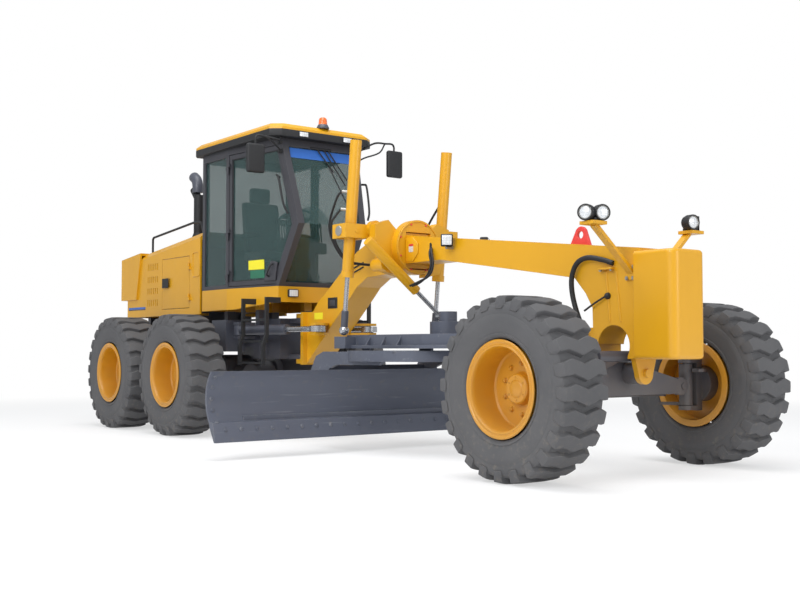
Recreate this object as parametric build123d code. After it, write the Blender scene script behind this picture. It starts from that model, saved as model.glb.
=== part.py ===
from build123d import *
import math
import os

# Articulated motor grader, one STEP file for each sub-part, in millimetres.
# Machine coordinates: x forward from the tandem pivot, y to the left, z up from the ground.
# The files are written about the middle of the ground area that the machine covers.

# ---------------------------------------------------------------- driving sizes
wheelbase = 6219.0
tandem_spacing = 1538.0
track = 2156.0
gap = 0.3                     # seated face to seated face
pin_fit = 0.3                 # radial clearance of a pin in its bore

# wheels
tyre_radius = 675.0
tyre_half_width = 220.0
tyre_sides = 24
lug_height = 36.0
crown_half = 198.0
lug_length = 88.0
bead_radius = 362.0
bead_half_width = 195.0
rim_radius = 317.5
rim_wall = 16.0
rim_flange_radius = 356.0
rim_flange = 15.0
disc_inboard = 45.0
disc_thickness = 20.0
hub_radius = 115.0
hub_face = 40.0
spindle_radius = 60.0
spindle_reach = 55.0
drum_radius = 150.0

# rear running gear
axle_tube_radius = 130.0
trunnion_radius = 110.0
tandem_inner = 620.0
tandem_outer = 800.0
tandem_centre_radius = 265.0
tandem_end_radius = 215.0

# rear frame
rail_inner = 250.0
rail_outer = 350.0
rail_bottom = 980.0
rail_top = 1230.0
rail_rear = -1880.0
rail_front = 1250.0
artic_x = 1670.0
artic_pin_radius = 45.0
ear_radius = 115.0
ear_thickness = 50.0
rear_ear_low = 850.0
rear_ear_high = 1300.0
artic_bracket_x = 1050.0
artic_bracket_y = 500.0
artic_eye_x = 2400.0
artic_eye_y = 330.0
artic_cylinder_z = 1170.0
artic_barrel_length = 860.0
artic_barrel_radius = 55.0
artic_rod_radius = 30.0
hitch_x = -1990.0
hitch_z = 900.0
hitch_bore = 25.0

# hood
hood_half = 600.0
hood_rear = -1950.0
hood_front = 270.0
hood_bottom = 1370.0
hood_top_rear = 2130.0
hood_top_front = 2350.0
hood_wall = 25.0
cowl_low = 1600.0
cowl_foot = -1475.0
cowl_front = -1354.0
cowl_proud = 25.0
hood_heel = -1800.0
hood_door_rear = -750.0
hood_door_front = 0.0
hood_door_low = 1450.0
hood_door_high = 2080.0
louvre_groups = (                 # (lower end, upper end)
    (1503.0, 1585.0), (1655.0, 1732.0), (1800.0, 1880.0), (1960.0, 2045.0),
)
louvre_rear = -1180.0
louvre_step = 56.0
louvre_width = 20.0
exhaust_x = -300.0
exhaust_y = -330.0

# cab
cab_floor = 1640.0
cab_rear = 330.0
cab_b_post = 930.0
cab_half = 600.0
cab_a_foot = 1810.0
cab_a_foot_half = 450.0
cab_knee = 2190.0
cab_knee_z = 2290.0
cab_a_top = 1930.0
cab_top = 3230.0
cab_post = 60.0
roof_top = 3370.0
roof_thickness = 95.0
roof_overhang = 60.0
mirror_height = 305.0

# front frame
neck_half = 150.0
nose_half = 190.0
nose_front = 6900.0
nose_bottom = 885.0
nose_top = 1700.0
saddle_x = 3655.0
saddle_z = 1944.0
saddle_radius = 266.0
lift_pivot_x = 3330.0
lift_pivot_y = 565.0
lift_pivot_z = 2090.0
yoke_inner = 140.0
lift_reach = 956.0
lamp_z = 1965.0
lamp_radius = 62.0
lift_lean = math.degrees(math.atan2(200.0, 1830.0))

# front axle
swing_pin_z = 775.0
swing_pin_radius = 32.0
axle_half_depth = 85.0
lean_pivot_y = 660.0
lean_pivot_z = 660.0
kingpin_y = 800.0
kingpin_radius = 55.0

# drawbar, circle and blade
ball_x = 5800.0
ball_z = 1030.0
ball_radius = 70.0
circle_x = 3800.0
circle_radius = 760.0
ring_inner = 630.0
ledge_radius = 596.0
ledge_height = 30.0
ledge_z = 895.0
circle_bottom = 845.0
circle_top = 945.0
drawbar_bottom = 965.0
drawbar_top = 1095.0
blade_length = 4270.0
blade_bottom = 157.0
blade_top = 768.0
blade_edge_x = 3580.0
blade_plate = 22.0
arm_y = 640.0
tip_x = 3300.0
tip_z = 300.0

wheel_z = tyre_radius
blade_half = blade_length / 2
rear_wheels = (("rear", -tandem_spacing / 2), ("middle", tandem_spacing / 2))
sides = (("left", 1), ("right", -1))


# ---------------------------------------------------------------- small shape functions
def block(x0, x1, y0, y1, z0, z1):
    """A box between two corners."""
    size = (abs(x1 - x0), abs(y1 - y0), abs(z1 - z0))
    return Pos((x0 + x1) / 2, (y0 + y1) / 2, (z0 + z1) / 2) * Box(*size)


def bar(start, end, radius, bore=0.0):
    """A round bar or tube between two points."""
    start, end = Vector(start), Vector(end)
    plane = Plane(origin=start, z_dir=(end - start).normalized())
    length = (end - start).length
    shape = extrude(plane * Circle(radius), length)
    if bore:
        shape -= extrude(plane * Circle(bore), length)
    return shape


def plate_xz(points, y0, y1):
    """A plate with its outline in the side view."""
    wire = Wire.make_polygon([Vector(x, y0, z) for x, z in points])
    return Solid.extrude(Face(wire), Vector(0, y1 - y0, 0))


def plate_yz(points, x0, x1):
    """A plate with its outline in the front view."""
    wire = Wire.make_polygon([Vector(x0, y, z) for y, z in points])
    return Solid.extrude(Face(wire), Vector(x1 - x0, 0, 0))


def plate_xy(points, z0, z1):
    """A plate with its outline in the plan view."""
    wire = Wire.make_polygon([Vector(x, y, z0) for x, y in points])
    return Solid.extrude(Face(wire), Vector(0, 0, z1 - z0))


def mirrored(shape):
    """The same piece on the other side of the machine."""
    return mirror(shape, Plane.XZ)


def handed(shape, side):
    """A piece drawn on the left, kept there or mirrored to the right."""
    return shape if side > 0 else mirrored(shape)


def both(shape):
    return shape + mirrored(shape)


def tube_path(points, radius, bend):
    """A round tube along straight runs with equal bends."""
    path = FilletPolyline(*points, radius=bend)
    start = Vector(*points[0])
    along = Vector(*points[1]) - start
    section = Plane(origin=start, z_dir=along.normalized()) * Circle(radius)
    return sweep(section, path)


# ---------------------------------------------------------------- wheels
def polygon_ring(radius, y):
    """A regular polygon of the tyre, its flats midway between the lugs."""
    turns = [2 * math.pi * i / tyre_sides for i in range(tyre_sides)]
    points = [Vector(radius * math.cos(t), y, radius * math.sin(t)) for t in turns]
    return Wire.make_polygon(points)


def tyre():
    """A tyre about the origin, its axle along y, with bars right across the tread."""
    carcass_radius = tyre_radius - lug_height
    sections = (                      # (offset from the middle plane, radius)
        (-bead_half_width, bead_radius),
        (-tyre_half_width, 0.76 * tyre_radius),
        (-crown_half, carcass_radius),
        (crown_half, carcass_radius),
        (tyre_half_width, 0.76 * tyre_radius),
        (bead_half_width, bead_radius),
    )
    rings = [polygon_ring(radius, y) for y, radius in sections]
    shape = Solid.make_loft(rings, ruled=True)
    edge = crown_half
    crown = math.sqrt(tyre_radius**2 - (lug_length / 2) ** 2)
    half = lug_length / 2
    outline = ((-half, -edge), (half, -edge), (half, edge), (-half, edge))
    lug = plate_xy(outline, carcass_radius - 75, crown)
    shoulder = plate_yz([(0.80 * tyre_half_width, crown + 1), (edge + 1, crown + 1), (edge + 1, crown - 70)],
                        -200, 200)
    lug = lug - both(shoulder)
    pitch = 360 / tyre_sides
    lugs = [Rot(0, pitch * (i + 0.5), 0) * lug for i in range(tyre_sides)]
    shape = Part() + [shape] + lugs
    bore = extrude(Plane.XZ * RegularPolygon(rim_radius + 1.0, tyre_sides, major_radius=False),
                   tyre_half_width, both=True)
    return shape - bore


def rim():
    """A deep dished rim about the origin, its outer face towards +y."""
    lip = bead_half_width + gap
    outer = lip + rim_flange
    inner = rim_radius - rim_wall
    disc_face = disc_thickness - disc_inboard
    outline = (                       # (radius, offset from the middle plane)
        (0, -disc_inboard), (inner, -disc_inboard), (inner, -outer),
        (rim_flange_radius, -outer), (rim_flange_radius, -lip), (rim_radius, -lip),
        (rim_radius, lip), (rim_flange_radius, lip), (rim_flange_radius, outer),
        (rim_flange_radius - 26, outer), (inner, lip - 40), (inner - 12, disc_face),
        (hub_radius, disc_face), (hub_radius - 12, hub_face), (0, hub_face),
    )
    wire = Wire.make_polygon([Vector(r, y, 0) for r, y in outline])
    shape = revolve(Face(wire), Axis.Y)
    depth = spindle_reach + 5
    return shape - bar((0, -disc_inboard - 1, 0), (0, -disc_inboard + depth, 0),
                       spindle_radius + pin_fit)


def spindle(x, side, inboard_y):
    """The drum and spindle that carry a wheel."""
    face = track / 2 - disc_inboard
    drum = bar((x, inboard_y, wheel_z), (x, face - gap, wheel_z), drum_radius)
    shaft = bar((x, inboard_y, wheel_z), (x, face + spindle_reach, wheel_z), spindle_radius)
    return handed(drum + shaft, side)


def add_wheels(nodes):
    """Six tyres and six rims, each at its place."""
    tyre_shape, rim_shape = tyre(), rim()
    places = [(f"{row}_{name}", x, side) for row, x in rear_wheels for name, side in sides]
    places += [(f"front_{name}", wheelbase, side) for name, side in sides]
    for name, x, side in places:
        turn = Rot(0, 0, 0) if side > 0 else Rot(0, 0, 180)
        place = Pos(x, side * track / 2, wheel_z) * turn
        nodes[f"tyre_{name}"] = place * tyre_shape
        nodes[f"rim_{name}"] = place * rim_shape


# ---------------------------------------------------------------- rear frame and running gear
def tandem_profile(y0, y1):
    """The chain case: a wide middle that tapers to both wheels."""
    half = tandem_spacing / 2
    sine = (tandem_centre_radius - tandem_end_radius) / half
    cosine = math.sqrt(1 - sine**2)
    points = []
    for sign in (1, -1):
        end = (sign * (half + tandem_end_radius * sine), tandem_end_radius * cosine)
        mid = (sign * tandem_centre_radius * sine, tandem_centre_radius * cosine)
        points.append((end, mid))
    outline = [points[0][0], points[0][1], points[1][1], points[1][0]]
    outline += [(x, -z) for x, z in reversed(outline)]
    shape = plate_xz([(x, wheel_z + z) for x, z in outline], y0, y1)
    for x, radius in ((half, tandem_end_radius), (-half, tandem_end_radius),
                      (0, tandem_centre_radius)):
        shape = shape + bar((x, y0, wheel_z), (x, y1, wheel_z), radius)
    return shape


def tandem_case(side):
    shape = tandem_profile(tandem_inner, tandem_outer)
    shape = shape + bar((0, tandem_outer - 5, wheel_z), (0, tandem_outer + 25, wheel_z), 120)
    for row, x in rear_wheels:
        shape = shape + spindle(x, 1, tandem_outer - 10)
    shape = shape - bar((0, tandem_inner - 1, wheel_z), (0, tandem_inner + 90, wheel_z),
                        trunnion_radius + pin_fit)
    return handed(shape, side)


def rear_axle():
    tube = bar((0, -540, wheel_z), (0, 540, wheel_z), axle_tube_radius)
    end = bar((0, 530, wheel_z), (0, tandem_inner - gap, wheel_z), 175)
    end = end + bar((0, 530, wheel_z), (0, tandem_inner + 85, wheel_z), trunnion_radius)
    centre = bar((0, -190, wheel_z), (0, 190, wheel_z), 215)
    nose = bar((100, 0, wheel_z), (430, 0, wheel_z), 105)
    return tube + both(end) + centre + nose


def rear_frame():
    rail = block(rail_rear, rail_front, rail_inner, rail_outer, rail_bottom, rail_top)
    foot = block(-150, 150, rail_inner, rail_outer,
                 wheel_z + axle_tube_radius + gap, rail_bottom + 5)
    bracket = plate_xy([(artic_bracket_x - 110, rail_outer - 5), (artic_bracket_x + 90, rail_outer - 5),
                        (artic_bracket_x + 45, artic_bracket_y + 45),
                        (artic_bracket_x - 55, artic_bracket_y + 45)],
                       artic_cylinder_z - 95, artic_cylinder_z - 65)
    upper = Pos(0, 0, 160 - 5) * bracket
    post = bar((artic_bracket_x, artic_bracket_y, artic_cylinder_z - 70),
               (artic_bracket_x, artic_bracket_y, artic_cylinder_z + 70), 22)
    shape = both(rail + foot + bracket + upper + post)
    for x0, x1 in ((-1880, -1760), (-1000, -900), (-60, 60), (700, 780)):
        shape = shape + block(x0, x1, -rail_inner - 5, rail_inner + 5, rail_bottom + 20, rail_top - 20)
    # rear cross member with the towing hitch
    shape = shape + block(-1960, rail_rear + 5, -520, 520, 790, 1290)
    for z in (hitch_z - 45, hitch_z + 20):
        tongue = block(-1965, hitch_x, -70, 70, z, z + 25)
        tongue = tongue + bar((hitch_x, 0, z), (hitch_x, 0, z + 25), 70)
        shape = shape + tongue
    shape = shape - bar((hitch_x, 0, hitch_z - 60), (hitch_x, 0, hitch_z + 60), hitch_bore)
    # front box that carries the articulation ears
    shape = shape + block(rail_front - 50, 1500, -240, 240, rear_ear_low, rear_ear_high)
    shape = shape + block(1100, rail_front, -rail_outer, rail_outer, rear_ear_low, artic_cylinder_z - 110)
    for z in (rear_ear_low, rear_ear_high - ear_thickness):
        ear = block(1490, artic_x, -ear_radius, ear_radius, z, z + ear_thickness)
        shape = shape + ear + bar((artic_x, 0, z), (artic_x, 0, z + ear_thickness), ear_radius)
    pin_low = rear_ear_low - ear_thickness - 5
    pin_high = rear_ear_high + ear_thickness + 5
    shape = shape + bar((artic_x, 0, pin_low), (artic_x, 0, pin_high), artic_pin_radius)
    # side tank and battery boxes outside the rails
    shape = shape + both(block(560, 900, rail_outer - 5, 590, 930, 1290))
    # posts that carry the cab base and the hood
    for x in (-1700, -900, -250):
        shape = shape + both(block(x, x + 80, rail_inner, rail_outer, rail_top - 5, hood_bottom - gap))
    for x in (420, 1150):
        shape = shape + both(block(x, x + 80, rail_inner, rail_outer, rail_top - 5, 1400 - gap))
    return shape


def engine():
    upper = block(-1250, 60, -330, 330, hood_bottom + 40, 1980)
    sump = block(-900 + gap, -250, -rail_inner + gap, rail_inner - gap, 1050, hood_bottom + 50)
    return upper + sump


def hood_section(x):
    """The top height of the hood at x."""
    share = (x - hood_rear) / (hood_front - hood_rear)
    return hood_top_rear + share * (hood_top_front - hood_top_rear)


def hood_outline(x, inset):
    top = hood_section(x) - inset
    half = hood_half - inset
    return [(-half, hood_bottom), (-half, top - 70), (-half + 70, top),
            (half - 70, top), (half, top - 70), (half, hood_bottom)]


def hood():
    shell = loft_x(hood_rear, hood_front, 0)
    inner = loft_x(hood_rear + hood_wall, hood_front + 10, hood_wall)
    shape = shell - Pos(0, 0, -10) * inner
    shape = shape - block(hood_rear + 60, hood_front + 20, -hood_half + hood_wall, hood_half - hood_wall,
                          hood_bottom - 20, hood_bottom + 60)
    for x in (-1700, -900, -250):
        shape = shape + both(block(x, x + 80, rail_inner, hood_half - 5, hood_bottom, hood_bottom + 30))
    # the body below the cowl ends further forward
    shape = shape - block(hood_rear - 10, hood_heel, -700, 700, hood_bottom - 10, cowl_low - 1)
    shape = shape + block(hood_heel, hood_heel + hood_wall, -590, 590, hood_bottom, cowl_low + 10)
    shape = shape + cowl()
    # door openings in both sides
    for side in (1, -1):
        y = side * hood_half
        shape = shape - block(hood_door_rear, hood_door_front, y - 60, y + 60, hood_door_low, hood_door_high)
    for fixed, moving in hood_hinges():
        shape = shape + both(fixed)
    # louvres: four groups of upright slots behind each door
    for side in (1, -1):
        y = side * (hood_half - hood_wall / 2)
        for low, high in louvre_groups:
            for slot in range(6):
                x = louvre_rear + slot * louvre_step
                shape = shape - block(x, x + louvre_width, y - 30, y + 30, low, high)
    shape = shape + bar((exhaust_x, exhaust_y, hood_section(exhaust_x) - 60),
                        (exhaust_x, exhaust_y, exhaust_seat), 105)
    # radiator opening in the rear face
    bars = [block(hood_rear - 5, hood_rear + hood_wall + 5, -430, 430, z, z + 34)
            for z in range(1660, 2080, 60)]
    for slot in bars:
        shape = shape - slot
    return shape


def cowl():
    """The box over the hood's rear end, a little wider than the hood."""
    half = hood_half + cowl_proud
    top = hood_section(cowl_front) + 12
    rear_top = hood_section(hood_rear) + 12
    outer = plate_xz([(hood_rear, cowl_low), (cowl_foot, cowl_low), (cowl_front, top), (hood_rear, rear_top)],
                     -half, half)
    wall = hood_wall
    inner = plate_xz([(hood_rear + wall, cowl_low + wall), (cowl_front + 50, cowl_low + wall),
                      (cowl_front + 50, top - wall), (hood_rear + wall, rear_top - wall)],
                     -half + wall, half - wall)
    return outer - inner


def loft_x(x0, x1, inset):
    """The hood's closed form between two stations."""
    wires = []
    for x in (x0, x1):
        points = [Vector(x, y, z) for y, z in hood_outline(x, inset)]
        wires.append(Wire.make_polygon(points))
    return Solid.make_loft(wires, ruled=True)


exhaust_seat = hood_section(exhaust_x + 120)


hinge_radius = 12.0
hinge_height = 80.0


def hinge_pair(x, y, z, away, across):
    """Fixed and moving halves of a hinge: the first reaches back, the second on to the leaf.

    away is the unit direction from the fixed post to the leaf, across points out of the wall."""
    half = hinge_height / 2
    halves = []
    for low, sign in ((z, -1), (z + half + gap, 1)):
        barrel = bar((x, y, low), (x, y, low + half - gap), hinge_radius)
        corners = []
        for along, out in ((0, hinge_radius), (34, hinge_radius), (34, -24), (0, -hinge_radius)):
            px = x + away[0] * sign * along + across[0] * out
            py = y + away[1] * sign * along + across[1] * out
            corners.append((px, py))
        halves.append(barrel + plate_xy(corners, low, low + half - gap))
    return halves


def hood_hinges():
    """The two hinges at the front edge of the left hood door."""
    halves = [hinge_pair(hood_door_front, hood_half + hinge_radius + 1, z, (-1, 0), (0, 1))
              for z in (hood_door_low + 90, hood_door_high - 90 - hinge_height)]
    return halves


def hood_door(side):
    y = hood_half
    shape = block(hood_door_rear + 6, hood_door_front - 6, y - hood_wall, y, hood_door_low + 6, hood_door_high - 6)
    shape = shape - block(hood_door_rear + 44, hood_door_rear + 214, y - 8, y + 5, 1720, 1830)
    for fixed, moving in hood_hinges():
        shape = shape + moving
    return handed(shape, side)


def exhaust():
    x, y = exhaust_x, exhaust_y
    base = exhaust_seat + gap
    stack = bar((x, y, base + 60), (x, y, base + 560), 62)
    cone = Pos(x, y, base + 45) * Cone(95, 62, 90)
    elbow = bar((x, y, base + 500), (x - 130, y, base + 640), 50)
    return stack + cone + elbow


# ---------------------------------------------------------------- cab
def cab_plan(inset=0.0):
    """The cab's outline at the floor: square at the rear, narrower towards the front."""
    half, foot = cab_half - inset, cab_a_foot_half - inset
    return [(cab_rear + inset, -half), (cab_b_post, -half), (cab_a_foot - inset, -foot),
            (cab_a_foot - inset, foot), (cab_b_post, half), (cab_rear + inset, half)]


def cab_base():
    """The yellow base under the cab, with the floor that closes it."""
    shape = plate_xy(cab_plan(), 1400, cab_floor - gap)
    inner = plate_xy(cab_plan(30), 1399, cab_floor - 30)
    shape = shape - inner
    shape = shape - plate_xz([(cab_b_post, 1390), (cab_a_foot + 10, 1390), (cab_a_foot + 10, 1470)],
                             -700, 700)
    for x in (420, 1150):
        shape = shape + both(block(x, x + 80, rail_inner, rail_outer, 1400, cab_floor - 20))
    return shape


def cab_shell(inset):
    """Closed form of the cab above its floor: upright rear, kinked front."""
    half, foot = cab_half - inset, cab_a_foot_half - inset
    levels = (                      # (height, front x, front half width)
        (cab_floor, cab_a_foot - inset, foot),
        (cab_knee_z, cab_knee - inset, foot - 15),
        (cab_top, cab_a_top - inset, foot + 50),
    )
    shape = None
    for (z0, x0, w0), (z1, x1, w1) in zip(levels, levels[1:]):
        wires = []
        for z, x, w in ((z0, x0, w0), (z1, x1, w1)):
            points = [(cab_rear + inset, -half), (cab_b_post, -half), (x, -w),
                      (x, w), (cab_b_post, half), (cab_rear + inset, half)]
            wires.append(Wire.make_polygon([Vector(a, b, z) for a, b in points]))
        piece = Solid.make_loft(wires, ruled=True)
        shape = piece if shape is None else shape + piece
    return shape


def cab_frame():
    shape = cab_shell(0) - cab_shell(cab_post)
    post = cab_post
    low, high = cab_floor + 45, cab_top - 90
    # side windows behind the door post and the door openings
    for side in (1, -1):
        shape = shape - block(cab_rear + post, cab_b_post - post / 2, side * (cab_half - 150),
                              side * (cab_half + 50), low, high)
        door = door_form(0, 200)
        shape = shape - (door if side > 0 else mirrored(door))
    for fixed, moving in cab_hinges():
        shape = shape + both(fixed)
    # rear window and windscreen
    shape = shape - block(cab_rear - 10, cab_rear + 150, -cab_half + post, cab_half - post, 2150, high)
    shape = shape - plate_yz([(-cab_a_foot_half + 75, low), (cab_a_foot_half - 75, low),
                              (cab_a_foot_half - 90, cab_knee_z), (cab_a_foot_half - 30, high),
                              (-cab_a_foot_half + 30, high), (-cab_a_foot_half + 90, cab_knee_z)],
                             cab_a_foot - 250, cab_knee + 100)
    return shape


def door_line(z):
    """Where the side wall meets the front edge of the door at a height: (x, y)."""
    if z <= cab_knee_z:
        share = (z - cab_floor) / (cab_knee_z - cab_floor)
        x = cab_a_foot + share * (cab_knee - cab_a_foot)
        return x, cab_a_foot_half - 15 * share
    share = (z - cab_knee_z) / (cab_top - cab_knee_z)
    x = cab_knee + share * (cab_a_top - cab_knee)
    return x, cab_a_foot_half - 15 + share * 65


def door_form(edge, depth):
    """The door's opening, or with edge above 0 the leaf in it, along the left side wall."""
    post = cab_post
    low, high = cab_floor + 20 + edge, cab_top - 70 - edge
    stations = (low, cab_knee_z, high)
    wires = []
    for z in stations:
        x, y = door_line(z)
        run = math.hypot(x - cab_b_post, cab_half - y)
        along = ((x - cab_b_post) / run, (y - cab_half) / run)
        out = (-along[1], along[0])
        start, stop = edge + post / 2, run - post - edge
        thickness = (-depth, depth) if edge == 0 else (-45, -5)
        points = []
        for s, t in ((start, thickness[0]), (stop, thickness[0]), (stop, thickness[1]), (start, thickness[1])):
            points.append(Vector(cab_b_post + along[0] * s + out[0] * t,
                                 cab_half + along[1] * s + out[1] * t, z))
        wires.append(Wire.make_polygon(points))
    lower = Solid.make_loft(wires[:2], ruled=True)
    upper = Solid.make_loft(wires[1:], ruled=True)
    return lower + upper


def cab_hinges():
    """The three hinges of the left door, on the post behind it."""
    halves = []
    for z in (cab_floor + 120, cab_knee_z - 60, cab_top - 250):
        x, y = door_line(z)
        run = math.hypot(x - cab_b_post, cab_half - y)
        along = ((x - cab_b_post) / run, (y - cab_half) / run)
        out = (-along[1], along[0])
        halves.append(hinge_pair(cab_hinge_x, cab_hinge_y, z, along, out))
    return halves


cab_hinge_x = cab_b_post + 32.0
cab_hinge_y = cab_half + 9.0


def cab_door(side):
    leaf = door_form(6, 0)
    for fixed, moving in cab_hinges():
        leaf = leaf + moving
    window = door_form(56, 0)
    window = scale_through(window)
    return handed(leaf - window, side)


def scale_through(shape):
    """A cutter that passes right through the door leaf."""
    return shape + Pos(0, 25, 0) * shape + Pos(0, -25, 0) * shape


def cab_roof():
    half = cab_half + roof_overhang
    front = cab_a_top + 110
    outline = [(cab_rear - 120, -half + 40), (cab_rear - 60, -half), (front - 90, -half), (front, -half + 110),
               (front, half - 110), (front - 90, half), (cab_rear - 60, half), (cab_rear - 120, half - 40)]
    lower = plate_xy(outline, cab_top + gap, roof_top - 40)
    upper = Wire.make_polygon([Vector(x, y, roof_top - 40) for x, y in outline])
    centre = ((cab_rear - 120 + front) / 2, 0)
    top = Wire.make_polygon([Vector(centre[0] + (x - centre[0]) * 0.95, y * 0.93, roof_top)
                             for x, y in outline])
    return lower + Solid.make_loft([upper, top], ruled=True)


def cab_glass():
    """Windscreen, rear window and the two fixed quarter windows, apart from each other."""
    pane = 8.0
    low, high = cab_floor + 45, cab_top - 90
    panes = []
    inset = 22.0
    knee_half = cab_a_foot_half - 90 - gap
    rows = ((low + gap, knee_half + 15), (cab_knee_z, knee_half), (high - gap, knee_half + 60))
    wires = []
    for z, half in rows:
        x = door_line(z)[0] - inset
        wires.append((x, half, z))
    for (x0, h0, z0), (x1, h1, z1) in zip(wires, wires[1:]):
        front = [Vector(x0, -h0, z0), Vector(x0, h0, z0), Vector(x1, h1, z1), Vector(x1, -h1, z1)]
        face = Face(Wire.make_polygon(front))
        panes.append(Solid.extrude(face, Vector(-pane, 0, 0)))
    windscreen = panes[0] + panes[1]
    rear = block(cab_rear + 20, cab_rear + 28, -cab_half + cab_post + gap, cab_half - cab_post - gap,
                 2150 + gap, high - gap)
    side = block(cab_rear + cab_post + gap, cab_b_post - cab_post / 2 - gap, cab_half - 28, cab_half - 20,
                 low + gap, high - gap)
    return [windscreen, rear, side, mirrored(side)]


def seat():
    x = 900.0
    base = block(x - 120, x + 120, -130, 130, cab_floor + gap, cab_floor + 330)
    cushion = block(x - 240, x + 260, -250, 250, cab_floor + 325, cab_floor + 450)
    back = plate_xz([(x - 250, cab_floor + 440), (x - 110, cab_floor + 440),
                     (x - 220, cab_floor + 1050), (x - 330, cab_floor + 1050)], -235, 235)
    rest = plate_xz([(x - 330, cab_floor + 1045), (x - 225, cab_floor + 1045),
                     (x - 245, cab_floor + 1230), (x - 325, cab_floor + 1230)], -130, 130)
    arms = both(block(x - 180, x + 200, 255, 320, cab_floor + 600, cab_floor + 660)
                + block(x - 180, x - 120, 230, 320, cab_floor + 400, cab_floor + 610))
    return base + cushion + back + rest + arms


def controls():
    x = 1430.0
    pedestal = plate_xz([(x, cab_floor + gap), (x + 220, cab_floor + gap), (x + 190, cab_floor + 560),
                         (x + 40, cab_floor + 620)], -130, 130)
    column = bar((x + 90, 0, cab_floor + 560), (x - 10, 0, cab_floor + 800), 28)
    plane = Plane(origin=(x - 10, 0, cab_floor + 800), z_dir=(-100, 0, 240))
    wheel = plane * Torus(185, 14)
    spokes = extrude(plane * Rectangle(36, 372), 8, both=True) + extrude(plane * Circle(45), 14, both=True)
    shape = pedestal + column + spokes + wheel
    for side in (-1, 1):
        bank = block(x + 50, x + 140, side * 120, side * 330, cab_floor + 400, cab_floor + 520)
        for row in range(5):
            y = side * (165 + row * 32)
            bank = bank + bar((x + 100, y, cab_floor + 500), (x + 60, y, cab_floor + 740), 7)
            bank = bank + bar((x + 66, y, cab_floor + 700), (x + 56, y, cab_floor + 760), 13)
        shape = shape + bank
    return shape


def ladder():
    """The left ladder on the cab base."""
    top_z, foot_z, y = 1510.0, 785.0, 645.0
    shape = None
    for x in (1430.0, 1930.0):
        rail = plate_yz([(y, top_z), (y + 40, top_z), (y + 40, 1120), (y + 80, 1000), (y + 80, foot_z),
                         (y + 40, foot_z), (y + 40, 990), (y, 1110)], x - 14, x + 14)
        stand = block(x - 14, x + 14, 500, y + 35, top_z - 60, top_z)
        stand = stand - plate_xy(cab_plan(-gap), top_z - 100, top_z + 20)
        shape = rail + stand if shape is None else shape + rail + stand
    for z in (800.0, 1030.0, 1260.0):
        tread = y + (40 if z < 1000 else 0)
        shape = shape + block(1425, 1935, tread, tread + 40, z, z + 22)
    return shape


def hand_rails():
    """A rail along each edge of the hood's top, rising towards the cab."""
    y = 512
    rear, front = -1225, 180
    points = [(rear, y, hood_section(rear + 15) + gap), (rear, y, 2395), (-70, y, 2492), (120, y, 2480),
              (front, y, hood_section(front + 15) + gap + 2.8)]
    return tube_path(points, 14, 40)


def mirror_arm(head_middle, top, low):
    """A mirror head on two bent tubes from the windscreen post, drawn on the left."""
    half = mirror_height / 2
    head = block(2060, 2120, 800, 1010, head_middle - half, head_middle + half)
    upper = tube_path([(1915, 520, 3180), (2090, 590, 3195), (2090, 680, top - 10), (2085, 900, top),
                       (2085, 900, head_middle + half - 10)], 11, 22)
    lower = tube_path([(1930, 520, 3080), (2000, 560, low), (2075, 700, low + 60), (2085, 770, top - 12)], 9, 20)
    feet = block(1890, 1940, 480, 530, 3160, 3200) + block(1905, 1955, 480, 530, 3060, 3100)
    return head + upper + lower + (feet - cab_shell(-gap))


def mirrors():
    """The left head hangs higher than the right one."""
    return mirror_arm(3057, 3285, 3110) + mirrored(mirror_arm(2940, 3185, 3085))


def cab_lamps():
    """Beacon on the roof and the two work lamps on the base's front."""
    beacon = Pos(1985, 0, roof_top + gap + 20) * Cylinder(70, 40)
    beacon = beacon + Pos(1985, 0, roof_top + gap + 85) * Cylinder(50, 90)
    return beacon


# ---------------------------------------------------------------- articulation cylinders
def cylinder_line(start, end):
    start, end = Vector(*start), Vector(*end)
    along = (end - start).normalized()
    return start, end, along


def artic_barrel(side):
    start, end, along = cylinder_line((artic_bracket_x, artic_bracket_y, artic_cylinder_z),
                                      (artic_eye_x, artic_eye_y, artic_cylinder_z))
    stop = start + along * artic_barrel_length
    shape = bar(start + along * 55, stop, artic_barrel_radius)
    shape = shape + bar(start - Vector(0, 0, 55), start + Vector(0, 0, 55), 60)
    shape = shape - bar(start - Vector(0, 0, 60), start + Vector(0, 0, 60), 22 + pin_fit)
    shape = shape - bar(start + along * 90, stop + along * 1, artic_rod_radius + pin_fit)
    return handed(shape, side)


def artic_rod(side):
    start, end, along = cylinder_line((artic_bracket_x, artic_bracket_y, artic_cylinder_z),
                                      (artic_eye_x, artic_eye_y, artic_cylinder_z))
    tail = start + along * (artic_barrel_length - 420)
    shape = bar(tail, end - along * 60, artic_rod_radius)
    shape = shape + bar(end - Vector(0, 0, 30), end + Vector(0, 0, 30), 85)
    shape = shape - bar(end - Vector(0, 0, 40), end + Vector(0, 0, 40), 66)
    return handed(shape, side)


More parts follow.
